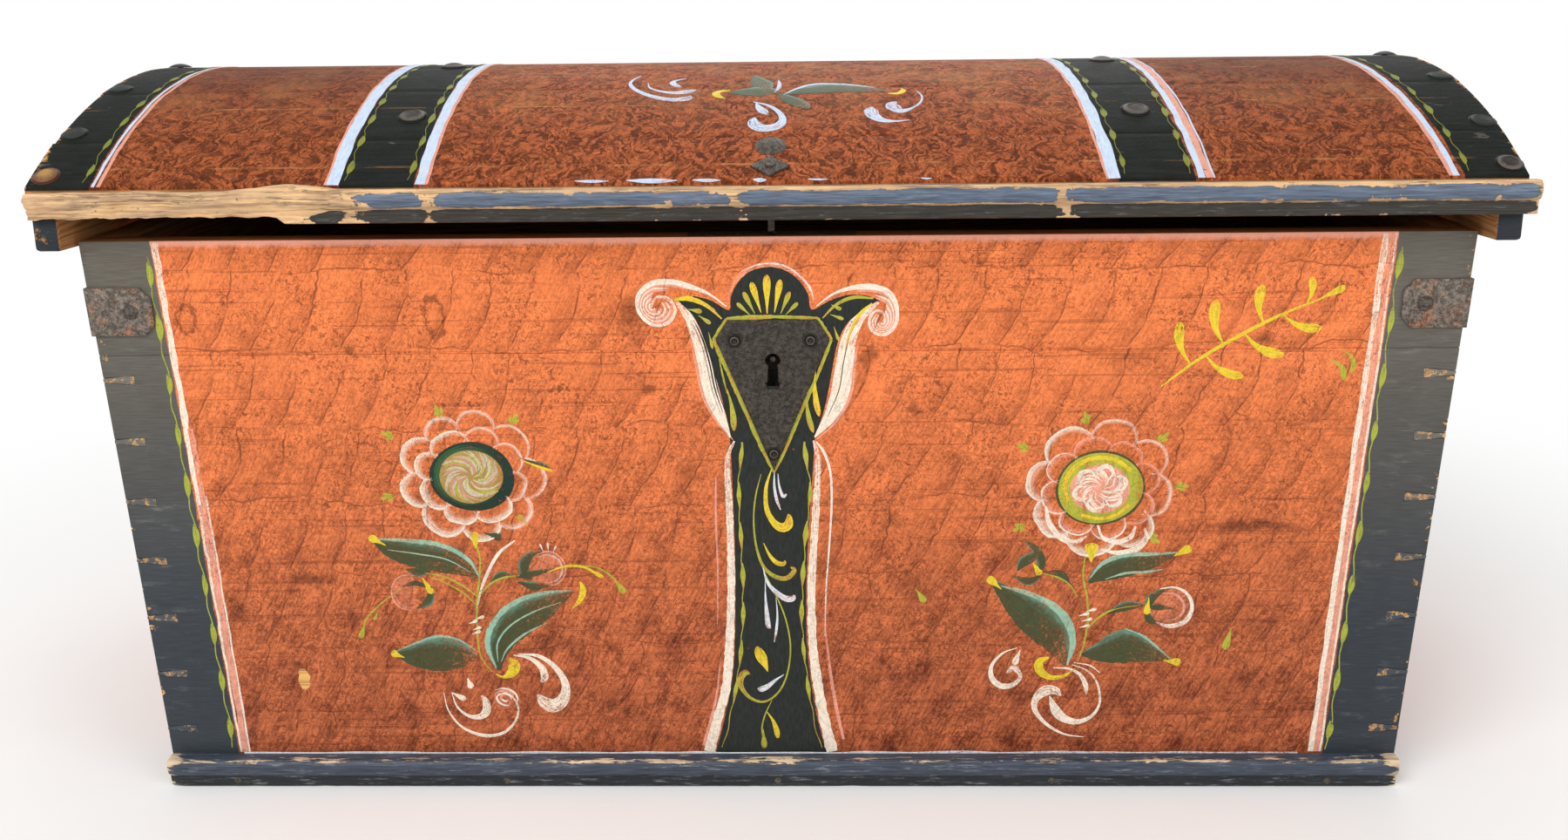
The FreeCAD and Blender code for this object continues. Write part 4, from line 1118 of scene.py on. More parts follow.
class Brush:
    """Collects strokes of one paint on one surface, and lays them as one closed mesh."""

    def __init__(self, place, seed):
        self.place = place
        self.chance = random.Random(seed)
        self.spots = []
        self.faces = []
        self.marks = []
        self.loads = []

    def ring(self, points, marks, load):
        start = len(self.spots)
        self.spots += points
        self.marks += marks
        self.loads += [load] * len(points)
        return list(range(start, start + len(points)))

    def skin(self, rings):
        """Closes a run of rings into one body."""
        for one, two in zip(rings, rings[1:]):
            count = len(one)
            self.faces += [(one[i], one[(i + 1) % count], two[(i + 1) % count], two[i])
                           for i in range(count)]
        self.faces.append(tuple(reversed(rings[0])))
        self.faces.append(tuple(rings[-1]))

    def stroke(self, points, level=0.0, step=3.0, shake=0.0):
        """One pull of the brush through points of (across, along, half width)."""
        line = flow(points, step)
        relief = sizes().paint_relief * 1000
        start_u = self.chance.uniform(0, 50)
        section = ((-1, 0.1), (-0.55, 0.85), (0, 1), (0.55, 0.85), (1, 0.1), (1, -1.6), (-1, -1.6))
        run = 0.0
        rings = []
        for index, spot in enumerate(line):
            after = line[min(index + 1, len(line) - 1)]
            before = line[max(index - 1, 0)]
            way = (after.xy - before.xy).normalized()
            side = Vector((-way.y, way.x))
            width = max(spot.z, 0.12) * (1 + self.chance.uniform(-shake, shake))
            if index:
                run += (spot.xy - before.xy).length
            points_out = []
            marks = []
            for offset, height in section:
                foot = spot.xy + side * (offset * width)
                out = height * relief + (level if height > 0 else 0)
                points_out.append(self.place(foot.x, foot.y, out))
                marks.append((start_u + run / 10, (offset + 1) / 2))
            rings.append(self.ring(points_out, marks, 1 - index / (len(line) - 1)))
        self.skin(rings)

    def drop(self, x0, s0, x1, s1, width, level=0.0, bend=0.0):
        """A drop: thin where the brush lands, full where it is pressed, and rounded off."""
        dx, ds = x1 - x0, s1 - s0
        spots = []
        for share, wide in ((0, 0.12), (0.35, 0.5), (0.65, 0.95), (0.82, 1.0), (0.94, 0.7), (1, 0.2)):
            aside = bend * math.sin(math.pi * share)
            spots.append((x0 + dx * share - ds * aside, s0 + ds * share + dx * aside, width * wide))
        self.stroke(spots, level, 1.5)

    def blot(self, outline, level=0.0):
        """A filled shape with a soft rim."""
        closed = [Vector(point) for point in outline]
        relief = sizes().paint_relief * 1000
        area = sum(a.x * b.y - b.x * a.y for a, b in zip(closed, closed[1:] + closed[:1]))
        inward = 1 if area > 0 else -1
        rings = []
        for shrink, out in ((0, -1.6 * relief), (0, level + 0.1 * relief), (0.5, level + relief)):
            ring = []
            for index, spot in enumerate(closed):
                way = (closed[(index + 1) % len(closed)] - closed[index - 1]).normalized()
                foot = spot + Vector((-way.y, way.x)) * (shrink * inward)
                ring.append(self.place(foot.x, foot.y, out))
            marks = [(spot.x / 10, 0.35) for spot in closed]
            rings.append(self.ring(ring, marks, 0.6))
        self.skin(rings)

    def vine(self, edge, low, high, pitch, width=2.7, stem=0.55):
        """A thin wavering line hung with long leaf beads. edge gives x for each place along it."""
        count = round((high - low) / pitch)
        line = []
        for i in range(count):
            start = low + (high - low) * i / count
            lean = self.chance.uniform(0.8, 1.6)
            for share, sway in ((0.0, -1.0), (0.3, 0.2), (0.6, 1.0), (0.8, 0.2)):
                at = start + pitch * share
                line.append((edge(at) + sway * lean, at, stem))
            long = pitch * self.chance.uniform(0.40, 0.52)
            wide = width * self.chance.uniform(0.85, 1.15)
            foot = start + pitch * 0.22
            bead = []
            for share, sway, swell in ((0, -0.6, 0.1), (0.2, -0.1, 0.7), (0.5, 0.3, 1.0), (0.8, 0.2, 0.7),
                                       (1, -0.3, 0.1)):
                at = foot + long * share
                bead.append((edge(at) + sway * lean, at, wide * swell))
            self.stroke(bead, 0.08, 2.5)
        self.stroke(line, 0.0, 5)

    def lay(self, name, body, finish, slot):
        mesh = bpy.data.meshes.new(name)
        mesh.from_pydata([tuple(spot) for spot in self.spots], [], self.faces)
        layer = mesh.uv_layers.new(name="brush")
        for loop in mesh.loops:
            layer.data[loop.index].uv = self.marks[loop.vertex_index]
        load = mesh.attributes.new("load", "FLOAT", "POINT")
        load.data.foreach_set("value", self.loads)
        piece = bpy.data.objects.new(name, mesh)
        bpy.context.collection.objects.link(piece)
        edit(piece)
        leave_edit(outwards=True)
        smooth(piece, 60)
        finish_piece(piece, body, finish, slot)
        return piece


def scallops(glow_brush, bright, faint, x, z, wide, high, petals, turn, width, level):
    """A ring of petals: thin wavering rims, each with a glow inside that is strongest low on the left."""
    total = sum(petals)
    start = turn
    chance = glow_brush.chance
    for size in petals:
        end = start + math.tau * size / total
        glow = 0.5 + 0.5 * math.cos((start + end) / 2 + 2.3)
        dent = chance.uniform(-0.05, 0.03)
        lean = chance.uniform(-0.04, 0.04)
        spots = []
        edge = []
        for share, reach, load in ((-0.05, 0.80, 0.3), (0.05, 0.93, 0.7), (0.24, 1.05, 1.0),
                                   (0.5, 1.09, 1.0), (0.76, 1.05, 1.0), (0.95, 0.93, 0.7),
                                   (1.05, 0.80, 0.3)):
            a = start + (end - start) * share
            middle = 1 - abs(share - 0.5) * 2
            reach += dent * max(middle, 0) + lean * (share - 0.5) + chance.uniform(-0.012, 0.012)
            swell = width * load * (0.45 + 0.75 * glow)
            rim = reach + width * load * 0.85 / wide
            inner = rim - swell / wide
            spots.append((x + wide * inner * math.cos(a), z + high * inner * math.sin(a), swell))
            pressure = chance.uniform(0.45, 1.05) * (0.55 + 0.6 * glow)
            edge.append((x + wide * rim * math.cos(a), z + high * rim * math.sin(a), load * pressure))
        glow_brush.stroke(list(reversed(spots)), level, 2.5)
        line_brush = bright if glow + chance.uniform(-0.25, 0.25) > 0.45 else faint
        line_brush.stroke(list(reversed(edge)), level + 0.06, 2.0, 0.25)
        start = end


def oval(x, z, wide, high, lean=0.0):
    """A hand-painted oval: nearly true, with a slight lump."""
    spots = []
    for i in range(48):
        a = math.tau * i / 48
        grow = 1 + 0.015 * math.sin(2 * a + lean) + 0.012 * math.sin(3 * a + 2 * lean)
        spots.append((x + wide * grow * math.cos(a), z + high * grow * math.sin(a)))
    return spots


def borders(p):
    """Lines and vines along the two black bands, and a line over the base moulding."""
    cream = p["cream"]
    pink = p["pink"]

    lines = ((cream, left_border, 3.4, 2.7, 262, 487), (cream, left_border, 2, 1.2, 28, 274),
             (pink, left_border, 6.2, 3, 28, 330), (cream, left_border, 10, 0.8, 28, 270),
             (cream, right_border, -1.6, 1.1, 28, 487), (pink, right_border, -5, 3.2, 28, 487),
             (cream, right_border, -9.6, 2.7, 28, 487))
    for brush, border, aside, width, low, high in lines:
        spots = []
        for i in range(24):
            z = low + (high - low) * i / 23
            x = border(z) + aside + brush.chance.uniform(-0.5, 0.5)
            spots.append((x, z, width * brush.chance.uniform(0.75, 1.2)))
        brush.stroke(spots, 0.05, 7)
    floor_line = [(x, 26.3 + cream.chance.uniform(-0.3, 0.3), cream.chance.uniform(0.8, 1.9))
                  for x in range(-478, 479, 24)]
    p["white"].stroke(floor_line, 0.05, 10)
    p["olive"].vine(lambda z: left_border(z) - 4.5, 32, 486, 44)
    p["olive"].vine(lambda z: right_border(z) + 4, 30, 486, 44)


def pillar(p):
    """The black pillar with its cream edges and two vines."""
    black = p["black"]
    cream = p["cream"]
    pink = p["pink"]
    left = [(-55, 27), (-47, 60), (-39, 100), (-36, 140), (-34.5, 200), (-35, 260), (-36.5, 318)]
    left += [(-39.5, 340), (-44, 360), (-49.5, 380), (-55, 400), (-62, 420), (-77, 437)]
    top = [(-63, 440), (-49, 436), (-35, 428), (-33.5, 438), (-28, 450), (-17, 460), (-2, 463.5)]
    top += [(12, 460), (23, 451), (29.5, 440), (32, 428), (46, 435), (62, 440), (78, 439), (87, 435)]
    right = [(71, 425), (60, 415), (53, 400), (49, 380), (45.5, 360), (41, 340), (34, 318), (33, 300)]
    right += [(30, 260), (27.5, 220), (26, 180), (26, 140), (29, 100), (35, 60), (43, 27)]
    outline = []
    for group in (left, top, right):
        outline += [spot.xy for spot in flow([(x, z, 0) for x, z in group], 4)]
    black.blot(outline)
    level = 0.12
    cream.stroke([(-61, 28, 5.2), (-53, 60, 4.2), (-45, 90, 4), (-41, 130, 3.8), (-38.5, 180, 3.3),
                  (-38, 220, 3.1), (-38.5, 260, 2.9), (-39, 300, 2.2), (-33, 317, 1)], level, 3, 0.12)
    cream.stroke([(48, 28, 5.2), (41, 60, 4.4), (36, 90, 4.2), (31.5, 130, 3.8), (30.5, 180, 3.4),
                  (32.5, 220, 3.2), (35, 260, 2.9), (36.5, 300, 2.2), (33, 317, 1)], level, 3, 0.12)
    cream.stroke([(35, 316, 0.6), (42, 306, 1.2), (47, 288, 1), (48, 262, 0.9), (46, 225, 0.8),
                  (43, 180, 0.7), (42, 140, 0.5)], level)
    pink.stroke([(-49, 285, 0.6), (-50, 250, 0.9), (-49.5, 200, 0.8), (-51, 150, 0.6)], level)
    pink.stroke([(58, 40, 1.2), (51, 75, 1.5), (46, 110, 1.2), (42, 150, 0.6)], level)
    pink.stroke([(-66, 34, 1.5), (-60, 55, 1.4), (-53, 85, 1), (-49, 120, 0.6)], level)
    pillar_vine(p, [(-26, 316), (-29, 290), (-30, 270), (-29, 230), (-28, 190), (-29, 150), (-33, 110),
                    (-40, 70), (-49, 32)])
    pillar_vine(p, [(25, 316), (28, 290), (30, 272), (26, 235), (23, 190), (22, 150), (25, 110), (30, 70),
                    (38, 32)])


def pillar_vine(p, spots):
    """A vine inside the pillar, bead after bead down its edge."""
    path = flow([(x, z, 0) for x, z in spots], 2)
    olive = p["olive"]
    pitch = 18
    for start in range(0, len(path) - pitch, pitch):
        part = path[start:start + pitch]
        wide = olive.chance.uniform(1.9, 2.6)
        bead = part[::3][:5]
        swell = (0.15, 0.7, 1, 0.6, 0.15)
        olive.stroke([(spot.x, spot.y, wide * w) for spot, w in zip(bead, swell)], 0.18, 2)
    sway = olive.chance.uniform(0, 6)
    thin = [(spot.x + 0.9 * math.sin(i * 0.35 + sway), spot.y, 0.5) for i, spot in enumerate(path)]
    olive.stroke(thin[::4] + [thin[-1]], 0.12, 4)


def capital(p):
    """The lily over the pillar: two leaves, two curls and a shell, round the keyhole plate."""
    cream = p["cream"]
    pink = p["pink"]
    yellow = p["yellow"]
    olive = p["olive"]
    level = 0.12
    cream.stroke([(-36, 320, 0.8), (-44, 338, 4.6), (-51, 360, 6.4), (-56, 384, 5.8), (-61, 404, 4.8),
                  (-68, 422, 3.8), (-77, 435, 1.4)], level)
    cream.stroke([(34, 320, 0.8), (47, 338, 5.2), (55, 358, 7.6), (59, 382, 7.4), (62, 402, 6.2),
                  (70, 420, 4.6), (86, 434, 1.4)], level)
    p["leaf"].stroke([(45, 338, 0.3), (54, 360, 0.6), (58, 384, 0.6), (63, 406, 0.5), (72, 424, 0.3)], 0.2)
    for aside, width in ((0, 0.7), (2.2, 0.5), (-2.4, 0.35)):
        p["black"].stroke([(-42 + aside, 342, 0.2), (-48 + aside, 362, width), (-52 + aside, 384, width),
                           (-57 + aside, 404, width), (-64 + aside, 420, 0.2)], 0.2)
    pink.stroke([(-34, 318, 0.4), (-47, 334, 1), (-58, 356, 1.2), (-63, 382, 1), (-67, 404, 0.5)],
                level)
    pink.stroke([(36, 318, 0.4), (54, 336, 1.2), (64, 358, 1.4), (67, 382, 1.2), (70, 402, 0.5)], level)
    curl(p, [(-37, 431), (-50, 441), (-64, 447), (-80, 451), (-96, 450), (-107, 441), (-108, 428),
             (-98, 417), (-85, 418), (-79, 428), (-84, 438), (-94, 439), (-98, 431)])
    curl(p, [(36, 431), (50, 441), (66, 446), (82, 446), (94, 441), (100, 430), (100, 417), (93, 408),
             (83, 409), (79, 418), (84, 427), (91, 424), (90, 417)])
    glow = [(34, 434, 0.6), (32, 446, 2.4), (23, 458, 3.6), (8, 466, 4.4), (-9, 466, 4.4),
            (-25, 459, 3.4), (-34, 446, 2), (-36, 434, 0.6)]
    p["pale petal"].stroke(glow, 0, 3, 0.3)
    cream.stroke([(-24, 460, 0.3), (-10, 465.5, 0.9), (6, 465.5, 1.1), (18, 460, 0.8), (28, 450, 0.4)],
                 0.05, 3, 0.5)
    cream.stroke([(24, 455, 0.3), (31, 446, 1.1), (34, 436, 0.4)], 0.05, 3, 0.4)
    fan = ((-4, 425, -4, 457, 3.9), (-9, 426, -16.5, 451, 3.4), (2, 426, 7, 453, 3.4),
           (-14, 425, -23, 443, 2.6), (7, 425, 14.5, 443, 2.6), (-18, 424, -28.5, 434, 2.1),
           (11, 424, 21, 434, 2.1))
    for x0, z0, x1, z1, wide in fan:
        brush = yellow if abs(x1 + 4) < 13 else olive
        brush.drop(x0, z0, x1, z1, wide, level)
    plate_rim = [(0, 290), (-9, 308), (-22, 340), (-36, 374), (-48, 403), (-37, 421), (0, 422.5), (37, 421),
                 (48, 403), (37, 374), (22, 340), (9, 308), (0, 290)]
    for (x0, z0), (x1, z1) in zip(plate_rim, plate_rim[1:]):
        wide = olive.chance.uniform(1.7, 2.5)
        olive.stroke([(x0, z0, wide * 0.8), ((x0 + x1) / 2, (z0 + z1) / 2, wide), (x1, z1, wide * 0.8)],
                     level, 3, 0.2)
    yellow.stroke([(-79, 437, 1), (-66, 437.5, 2.5), (-53, 432, 2), (-41, 421, 0.6)], level)
    olive.stroke([(82, 437, 0.8), (66, 438, 1.8), (52, 432, 1.5), (41, 421, 0.6)], level)
    yellow.stroke([(81, 433, 0.5), (72, 425, 1.5), (65, 413, 1.4), (60, 398, 0.6)], level + 0.12)
    touches = ((-68, 429, -57, 427, 2.5), (-60, 424, -50, 417, 2.1), (-56, 434, -46, 427, 1.8),
               (-52, 410, -49, 396, 1.5), (48, 432, 56, 428, 2), (47, 424, 58, 420, 1.8),
               (50, 414, 54, 402, 1.5))
    for x0, z0, x1, z1, wide in touches:
        olive.drop(x0, z0, x1, z1, wide, level)
    olive.drop(-38, 362, -33, 326, 3.2, level, 0.04)
    olive.stroke([(-44, 388, 0.4), (-41, 372, 1), (-38, 358, 0.4)], level)
    yellow.drop(35, 380, 38, 338, 3, level, -0.05)
    olive.drop(28, 360, 33, 324, 2.8, level, -0.06)


def curl(p, spots):
    """One of the capital's curls: hair strokes side by side round its eye, over a thin wash."""
    eye = Vector(spots[-1])
    widths = (0.5, 1, 2, 2.7, 2.9, 2.5, 2.1, 1.8, 1.6, 1.5, 1.3, 1, 0.5)
    p["cream"].stroke([(x, z, width) for (x, z), width in zip(spots, widths)], 0.12, 2, 0.1)
    hairs = (("pink", 0.90, 2, 12, 1.3), ("cream", 0.78, 3, 11, 0.9), ("pink", 0.70, 3, 11, 1.8),
             ("cream", 0.60, 4, 11, 1.2), ("pink", 0.50, 4, 10, 1.8), ("cream", 0.40, 4, 10, 1.2),
             ("pink", 0.28, 4, 10, 1.6), ("cream", 0.16, 4, 10, 0.9))
    for brush, share, first, last, width in hairs:
        line = [eye.lerp(Vector(spot), share) for spot in spots[first:last]]
        thick = [width * 0.3] + [width] * (len(line) - 2) + [width * 0.3]
        p[brush].stroke([(spot.x, spot.y, wide) for spot, wide in zip(line, thick)], 0.1, 2)


def pillar_scroll(p):
    """The scroll that winds down the pillar."""
    yellow = p["yellow"]
    olive = p["olive"]
    white = p["white"]
    level = 0.12
    yellow.stroke([(-2, 293, 0.4), (-7, 276, 1.8), (-7, 258, 2.6), (-2, 246, 3.4), (5, 240, 5),
                   (11, 242, 5.2), (12, 249, 3), (11, 252, 0.8)], level, 2)
    white.stroke([(0, 290, 0.3), (0, 276, 1.3), (2, 264, 1.6), (5, 256, 0.6)], level, 2)
    white.stroke([(3, 288, 0.3), (4, 277, 1.1), (7, 268, 1.9), (10, 270, 1)], level, 2)
    olive.stroke([(-11, 288, 0.3), (-16, 268, 0.8), (-18, 246, 0.8), (-16, 222, 1.2), (-10, 204, 1.8),
                  (0, 195, 2.4), (10, 194, 2.8), (16, 201, 2.6), (13, 204, 1)], level, 2)
    yellow.stroke([(-10, 226, 0.3), (-5, 215, 1.6), (1, 208, 2.6), (7, 207, 2.4), (8, 210, 0.8)], level, 2)
    white.stroke([(-11, 204, 0.3), (-7, 190, 1.6), (0, 181, 2.6), (8, 175, 3.4), (14, 175, 3.6),
                  (16, 178, 1.2)], level, 2)
    white.stroke([(-9, 194, 0.2), (-9, 176, 1), (-8, 160, 2.4), (-7, 150, 2.8), (-5, 147, 1)], level, 2)
    white.stroke([(0, 176, 0.2), (1, 160, 0.9), (0, 146, 1.4), (-2, 134, 0.5)], level, 2)
    olive.stroke([(-9, 198, 0.3), (0, 178, 0.7), (8, 156, 0.8), (12, 130, 0.8), (9, 104, 0.9),
                  (1, 86, 1.1), (-11, 77, 1.3), (-23, 80, 1.8), (-31, 90, 2.6), (-32, 99, 3.6),
                  (-28, 105, 3.8), (-24, 104, 1.2)], level, 2)
    yellow.stroke([(-8, 106, 0.4), (-10, 112, 3), (-13, 119, 5.8), (-16, 126, 4.6), (-17, 130, 0.8)],
                  level, 2)
    white.stroke([(6, 103, 0.4), (-1, 98, 1.4), (-8, 92, 2.8), (-14, 89, 3.4), (-17, 90, 1)], level, 2)
    olive.stroke([(-5, 78, 0.3), (-11, 64, 0.8), (-14, 50, 0.8), (-12, 36, 0.5)], level, 2)
    yellow.drop(-10, 68, 0, 41, 3, level, 0.08)
    olive.drop(-13, 50, -12, 31, 3.2, level)


def paint_leaf(p, spine, *lights):
    """A leaf: one dark stroke, and light lines along it."""
    p["leaf"].stroke(spine, 0.04, 2.5, 0.05)
    for line in lights:
        p["teal"].stroke(line, 0.10, 2.5, 0.15)


def sprig(p, x, z, angle):
    """Three short strokes that open like a bud between the petals."""
    for turn, long in ((-0.4, 0.75), (0, 1), (0.45, 0.6)):
        a = angle + turn
        reach = 12 * long
        foot_x = x + 2.0 * turn * -math.sin(angle)
        foot_z = z + 2.0 * turn * math.cos(angle)
        p["olive"].drop(foot_x, foot_z, x + reach * math.cos(a), z + reach * math.sin(a), 1.5, 0.05)


def swirl(p, x, z, wide, high, names, level, thick):
    """A flower's heart: hair strokes of uneven length that turn in from its rim."""
    count = 42
    for i in range(count):
        brush = p[names[i % len(names)]]
        chance = brush.chance
        a = math.tau * i / count + chance.uniform(-0.3, 0.3)
        bend = chance.uniform(1.3, 2.6)
        inner = chance.uniform(0.08, 0.45)
        outer = chance.uniform(0.80, 0.99)
        spots = []
        for share, width in ((0, 0.25), (0.35, 0.7), (0.7, 0.9), (1, 0.3)):
            reach = inner + (outer - inner) * share
            turn = a + bend * reach
            spots.append((x + wide * reach * math.cos(turn), z + high * reach * math.sin(turn),
                          width * thick * chance.uniform(0.7, 1.3)))
        brush.stroke(spots, level + 0.01 * (i % 5), 2)


def left_flower(p):
    """The left plant: its flower, stem and large leaves."""
    x, z = -254.5, 286.5
    scallops(p["petal"], p["cream"], p["pink"], x, z, 53.5, 50.5, (1.2, 1, 0.9, 1.1, 1, 1.2, 1, 1.1, 1.2),
             0.35, 4.6, 0.05)
    scallops(p["petal"], p["cream"], p["pink"], x, z, 41.5, 38, (1.1, 1, 1.2, 0.9, 1.1, 1, 1.2, 1), 0.1,
             4.4, 0.10)
    p["deep green"].blot(oval(x, z, 35.5, 31, 2), 0.12)
    for reach, first, last, width in ((0.90, 1.5, 4, 1), (0.84, 1.1, 4.6, 1.5), (0.79, 0.8, 5.2, 1.3)):
        p["mid green"].stroke([(x + 35.5 * reach * math.cos(first + (last - first) * i / 8),
                                z + 31 * reach * math.sin(first + (last - first) * i / 8),
                                width * math.sin(math.pi * (i + 0.4) / 8.8)) for i in range(9)], 0.2)
    p["heart"].blot(oval(x - 1, z, 27, 24, 0.5), 0.24)
    swirl(p, x - 1, z, 27, 24, ("heart cream", "heart pink", "heart cream", "olive", "heart cream",
                                "heart pink"), 0.34, 2)
    for angle, reach in ((1.95, 60), (2.62, 73), (3.40, 70), (-0.80, 52), (0.95, 60)):
        sprig(p, x + reach * math.cos(angle), z + reach * 0.93 * math.sin(angle), angle)
    p["leaf"].drop(-213, 303, -188, 294, 2.4, 0.14)
    p["yellow"].drop(-213, 301, -186, 291, 1.6, 0.2)
    p["yellow"].drop(-256, 222, -256, 237, 4.6, 0.14)
    p["leaf"].drop(-248, 236, -233, 232, 4, 0.14)
    p["olive"].stroke([(-256, 228, 0.7), (-253, 212, 0.8), (-255, 194, 0.9), (-258, 176, 0.9),
                       (-260, 150, 0.9), (-259, 122, 0.8), (-250, 106, 0.6)], 0.05)
    p["cream"].stroke([(-222, 229, 0.5), (-236, 218, 1.4), (-246, 202, 1.5), (-254, 184, 1.1),
                       (-259, 166, 0.4)], 0.05)
    paint_leaf(p, [(-345, 231, 1.5), (-328, 222, 9), (-305, 216, 12.5), (-282, 212, 13), (-264, 203, 8),
                   (-256, 192, 1.5)],
               [(-255, 196, 0.6), (-264, 212, 1.8), (-286, 225, 2.2), (-312, 229, 1.8), (-342, 231, 0.6)],
               [(-262, 200, 0.3), (-282, 212, 0.9), (-306, 217, 1), (-332, 221, 0.4)])
    p["yellow"].drop(-333, 225, -347, 233, 3.4, 0.14)
    paint_leaf(p, [(-244, 108, 2), (-243, 126, 9), (-236, 143, 14), (-219, 158, 15), (-199, 169, 11),
                   (-175, 182, 1.2)],
               [(-246, 110, 0.8), (-252, 130, 2.2), (-248, 148, 2.6), (-233, 167, 2.2), (-208, 179, 1.8),
                (-176, 183, 0.6)],
               [(-244, 116, 0.4), (-243, 134, 1.1), (-231, 150, 1.2), (-210, 163, 1), (-186, 172, 0.4)],
               [(-241, 116, 0.4), (-235, 128, 1), (-219, 142, 1), (-198, 153, 0.4)])
    p["yellow"].stroke([(-168, 191, 0.6), (-166, 183, 2.8), (-169, 174, 2.2), (-176, 166, 0.5)], 0.14, 2)
    paint_leaf(p, [(-335, 124, 1.5), (-316, 122, 11), (-295, 123, 16), (-276, 122, 12), (-262, 120, 1.5)],
               [(-263, 127, 0.4), (-278, 137, 0.9), (-296, 140, 1.2), (-316, 133, 0.9), (-333, 126, 0.4)])
    p["yellow"].drop(-326, 120, -337, 125, 3.4, 0.14)
    for x0, z0 in ((-264, 153), (-261, 147), (-258, 157), (-262, 143)):
        p["cream"].drop(x0 - 3, z0 - 1, x0 + 5, z0 + 2, 1.4, 0.14)


def bud_light(p, x, z, wide, high, turns, soft, line):
    """The lit side of a bud: a side-loaded stroke with a thin rim."""
    last = len(turns) - 1
    for name, reach, width, level in ((soft, 0.80, 3.6, 0.02), (line, 1, 0.8, 0.03)):
        spots = []
        for i, a in enumerate(reversed(turns)):
            spots.append((x + wide * reach * math.cos(a), z + high * reach * math.sin(a),
                          width * (0.3 if i in (0, last) else 1)))
        p[name].stroke(spots, level)


def left_buds(p):
    """The two side buds of the left plant, with their tendrils."""
    p["wash"].blot(oval(-316, 181, 16, 17))
    bud_light(p, -316, 181, 16, 17, (1.2, 1.9, 2.6, 3.3, 4, 4.7), "pale petal", "pink")
    paint_leaf(p, [(-300, 186, 1), (-310, 190, 4.5), (-322, 187, 1)])
    paint_leaf(p, [(-297, 187, 1), (-301, 174, 5), (-312, 166, 0.8)])
    paint_leaf(p, [(-296, 201, 0.6), (-308, 200, 4), (-318, 203, 0.6)])
    p["yellow"].drop(-304, 195, -297, 180, 3, 0.14)
    p["olive"].stroke([(-256, 176, 0.5), (-272, 189, 0.9), (-286, 196, 1), (-302, 200, 0.6)], 0.05)
    p["olive"].stroke([(-258, 168, 0.4), (-270, 181, 0.7), (-284, 190, 0.7), (-298, 196, 0.4)], 0.05)
    p["olive"].stroke([(-322, 186, 0.3), (-342, 171, 0.6), (-355, 158, 0.8), (-360, 148, 0.6)], 0.05)
    p["olive"].drop(-358, 152, -363, 138, 2.4, 0.1)
    p["olive"].drop(-346, 163, -349, 156, 1.6, 0.1)
    p["wash"].blot(oval(-196, 203, 16, 16))
    bud_light(p, -196, 203, 16, 16, (-1.8, -1, -0.2, 0.6, 1.4, 2.2), "petal", "pink")
    for x0, z0, x1, z1 in ((-198, 218, -201, 226), (-194, 219, -194, 227), (-190, 218, -187, 224)):
        p["cream"].drop(x0, z0, x1, z1, 0.8, 0.06)
    paint_leaf(p, [(-217, 196, 1), (-215, 206, 6), (-209, 215, 4), (-200, 219, 0.8)])
    paint_leaf(p, [(-223, 196, 1), (-211, 198, 5), (-197, 201, 3), (-189, 203, 0.6)])
    paint_leaf(p, [(-222, 191, 0.6), (-208, 187, 4), (-194, 188, 0.8)])
    paint_leaf(p, [(-246, 189, 0.5), (-236, 197, 4), (-225, 197, 0.6)])
    p["olive"].stroke([(-256, 178, 0.4), (-246, 189, 1), (-234, 195, 1.2), (-220, 197, 0.7)], 0.12)
    p["yellow"].stroke([(-196, 200, 0.4), (-181, 205, 1.1), (-166, 205, 1.2), (-154, 199, 0.8)], 0.14)
    p["yellow"].drop(-163, 204, -148, 195, 1.8, 0.14)
    p["olive"].stroke([(-170, 206, 0.3), (-153, 204, 0.7), (-141, 196, 0.9), (-136, 190, 0.6)], 0.1)
    p["olive"].drop(-139, 194, -130, 180, 2.8, 0.1)


def left_scrolls(p):
    """The scrolls at the foot of the left plant."""
    c = p["cream"]
    p["yellow"].stroke([(-247, 104, 0.5), (-240, 101, 1.4), (-232, 106, 4.6), (-230, 113, 5),
                        (-234, 119, 1)], 0.14, 2)
    c.stroke([(-230, 122, 0.4), (-216, 119, 1.6), (-206, 110, 2.8), (-204, 101, 3.4), (-207, 96, 1.2)],
             0.1, 2)
    c.stroke([(-226, 123, 0.4), (-208, 121, 1.6), (-194, 110, 2.4), (-186, 94, 3.4), (-189, 79, 5.4),
              (-198, 73, 6.4), (-206, 77, 5.4), (-211, 84, 1.2)], 0.1, 2)
    c.stroke([(-294, 86, 0.3), (-291, 68, 0.7), (-280, 52, 1.1), (-262, 44, 1.6), (-245, 46, 1.4),
              (-233, 57, 1.1), (-229, 71, 0.9), (-235, 84, 0.9), (-243, 87, 0.4)], 0.1, 2.5)
    c.stroke([(-287, 86, 0.3), (-283, 72, 0.9), (-273, 63, 1.6), (-262, 63, 3), (-257, 70, 3.8),
              (-258, 79, 2.6), (-261, 83, 0.6)], 0.1, 2)
    p["wash"].blot(oval(-240, 80, 11, 10))
    turns = (("cream", 1, -0.6, 1.1), ("pink", 0.80, 0.4, 1.3), ("cream", 0.66, 2.2, 1.4),
             ("cream", 0.50, -0.2, 1.2), ("pink", 0.36, 1.4, 1.2), ("cream", 0.24, 3, 1.3))
    for name, reach, start, width in turns:
        p[name].stroke([(-240 + 11 * reach * math.cos(start + i * 0.6),
                         80 + 10 * reach * math.sin(start + i * 0.55),
                         width * math.sin(math.pi * (i + 0.5) / 6)) for i in range(6)], 0.1, 1.5)
    c.drop(-272, 100, -269, 90, 2.8, 0.1)
    c.drop(-287, 86, -275, 79, 2.6, 0.1)


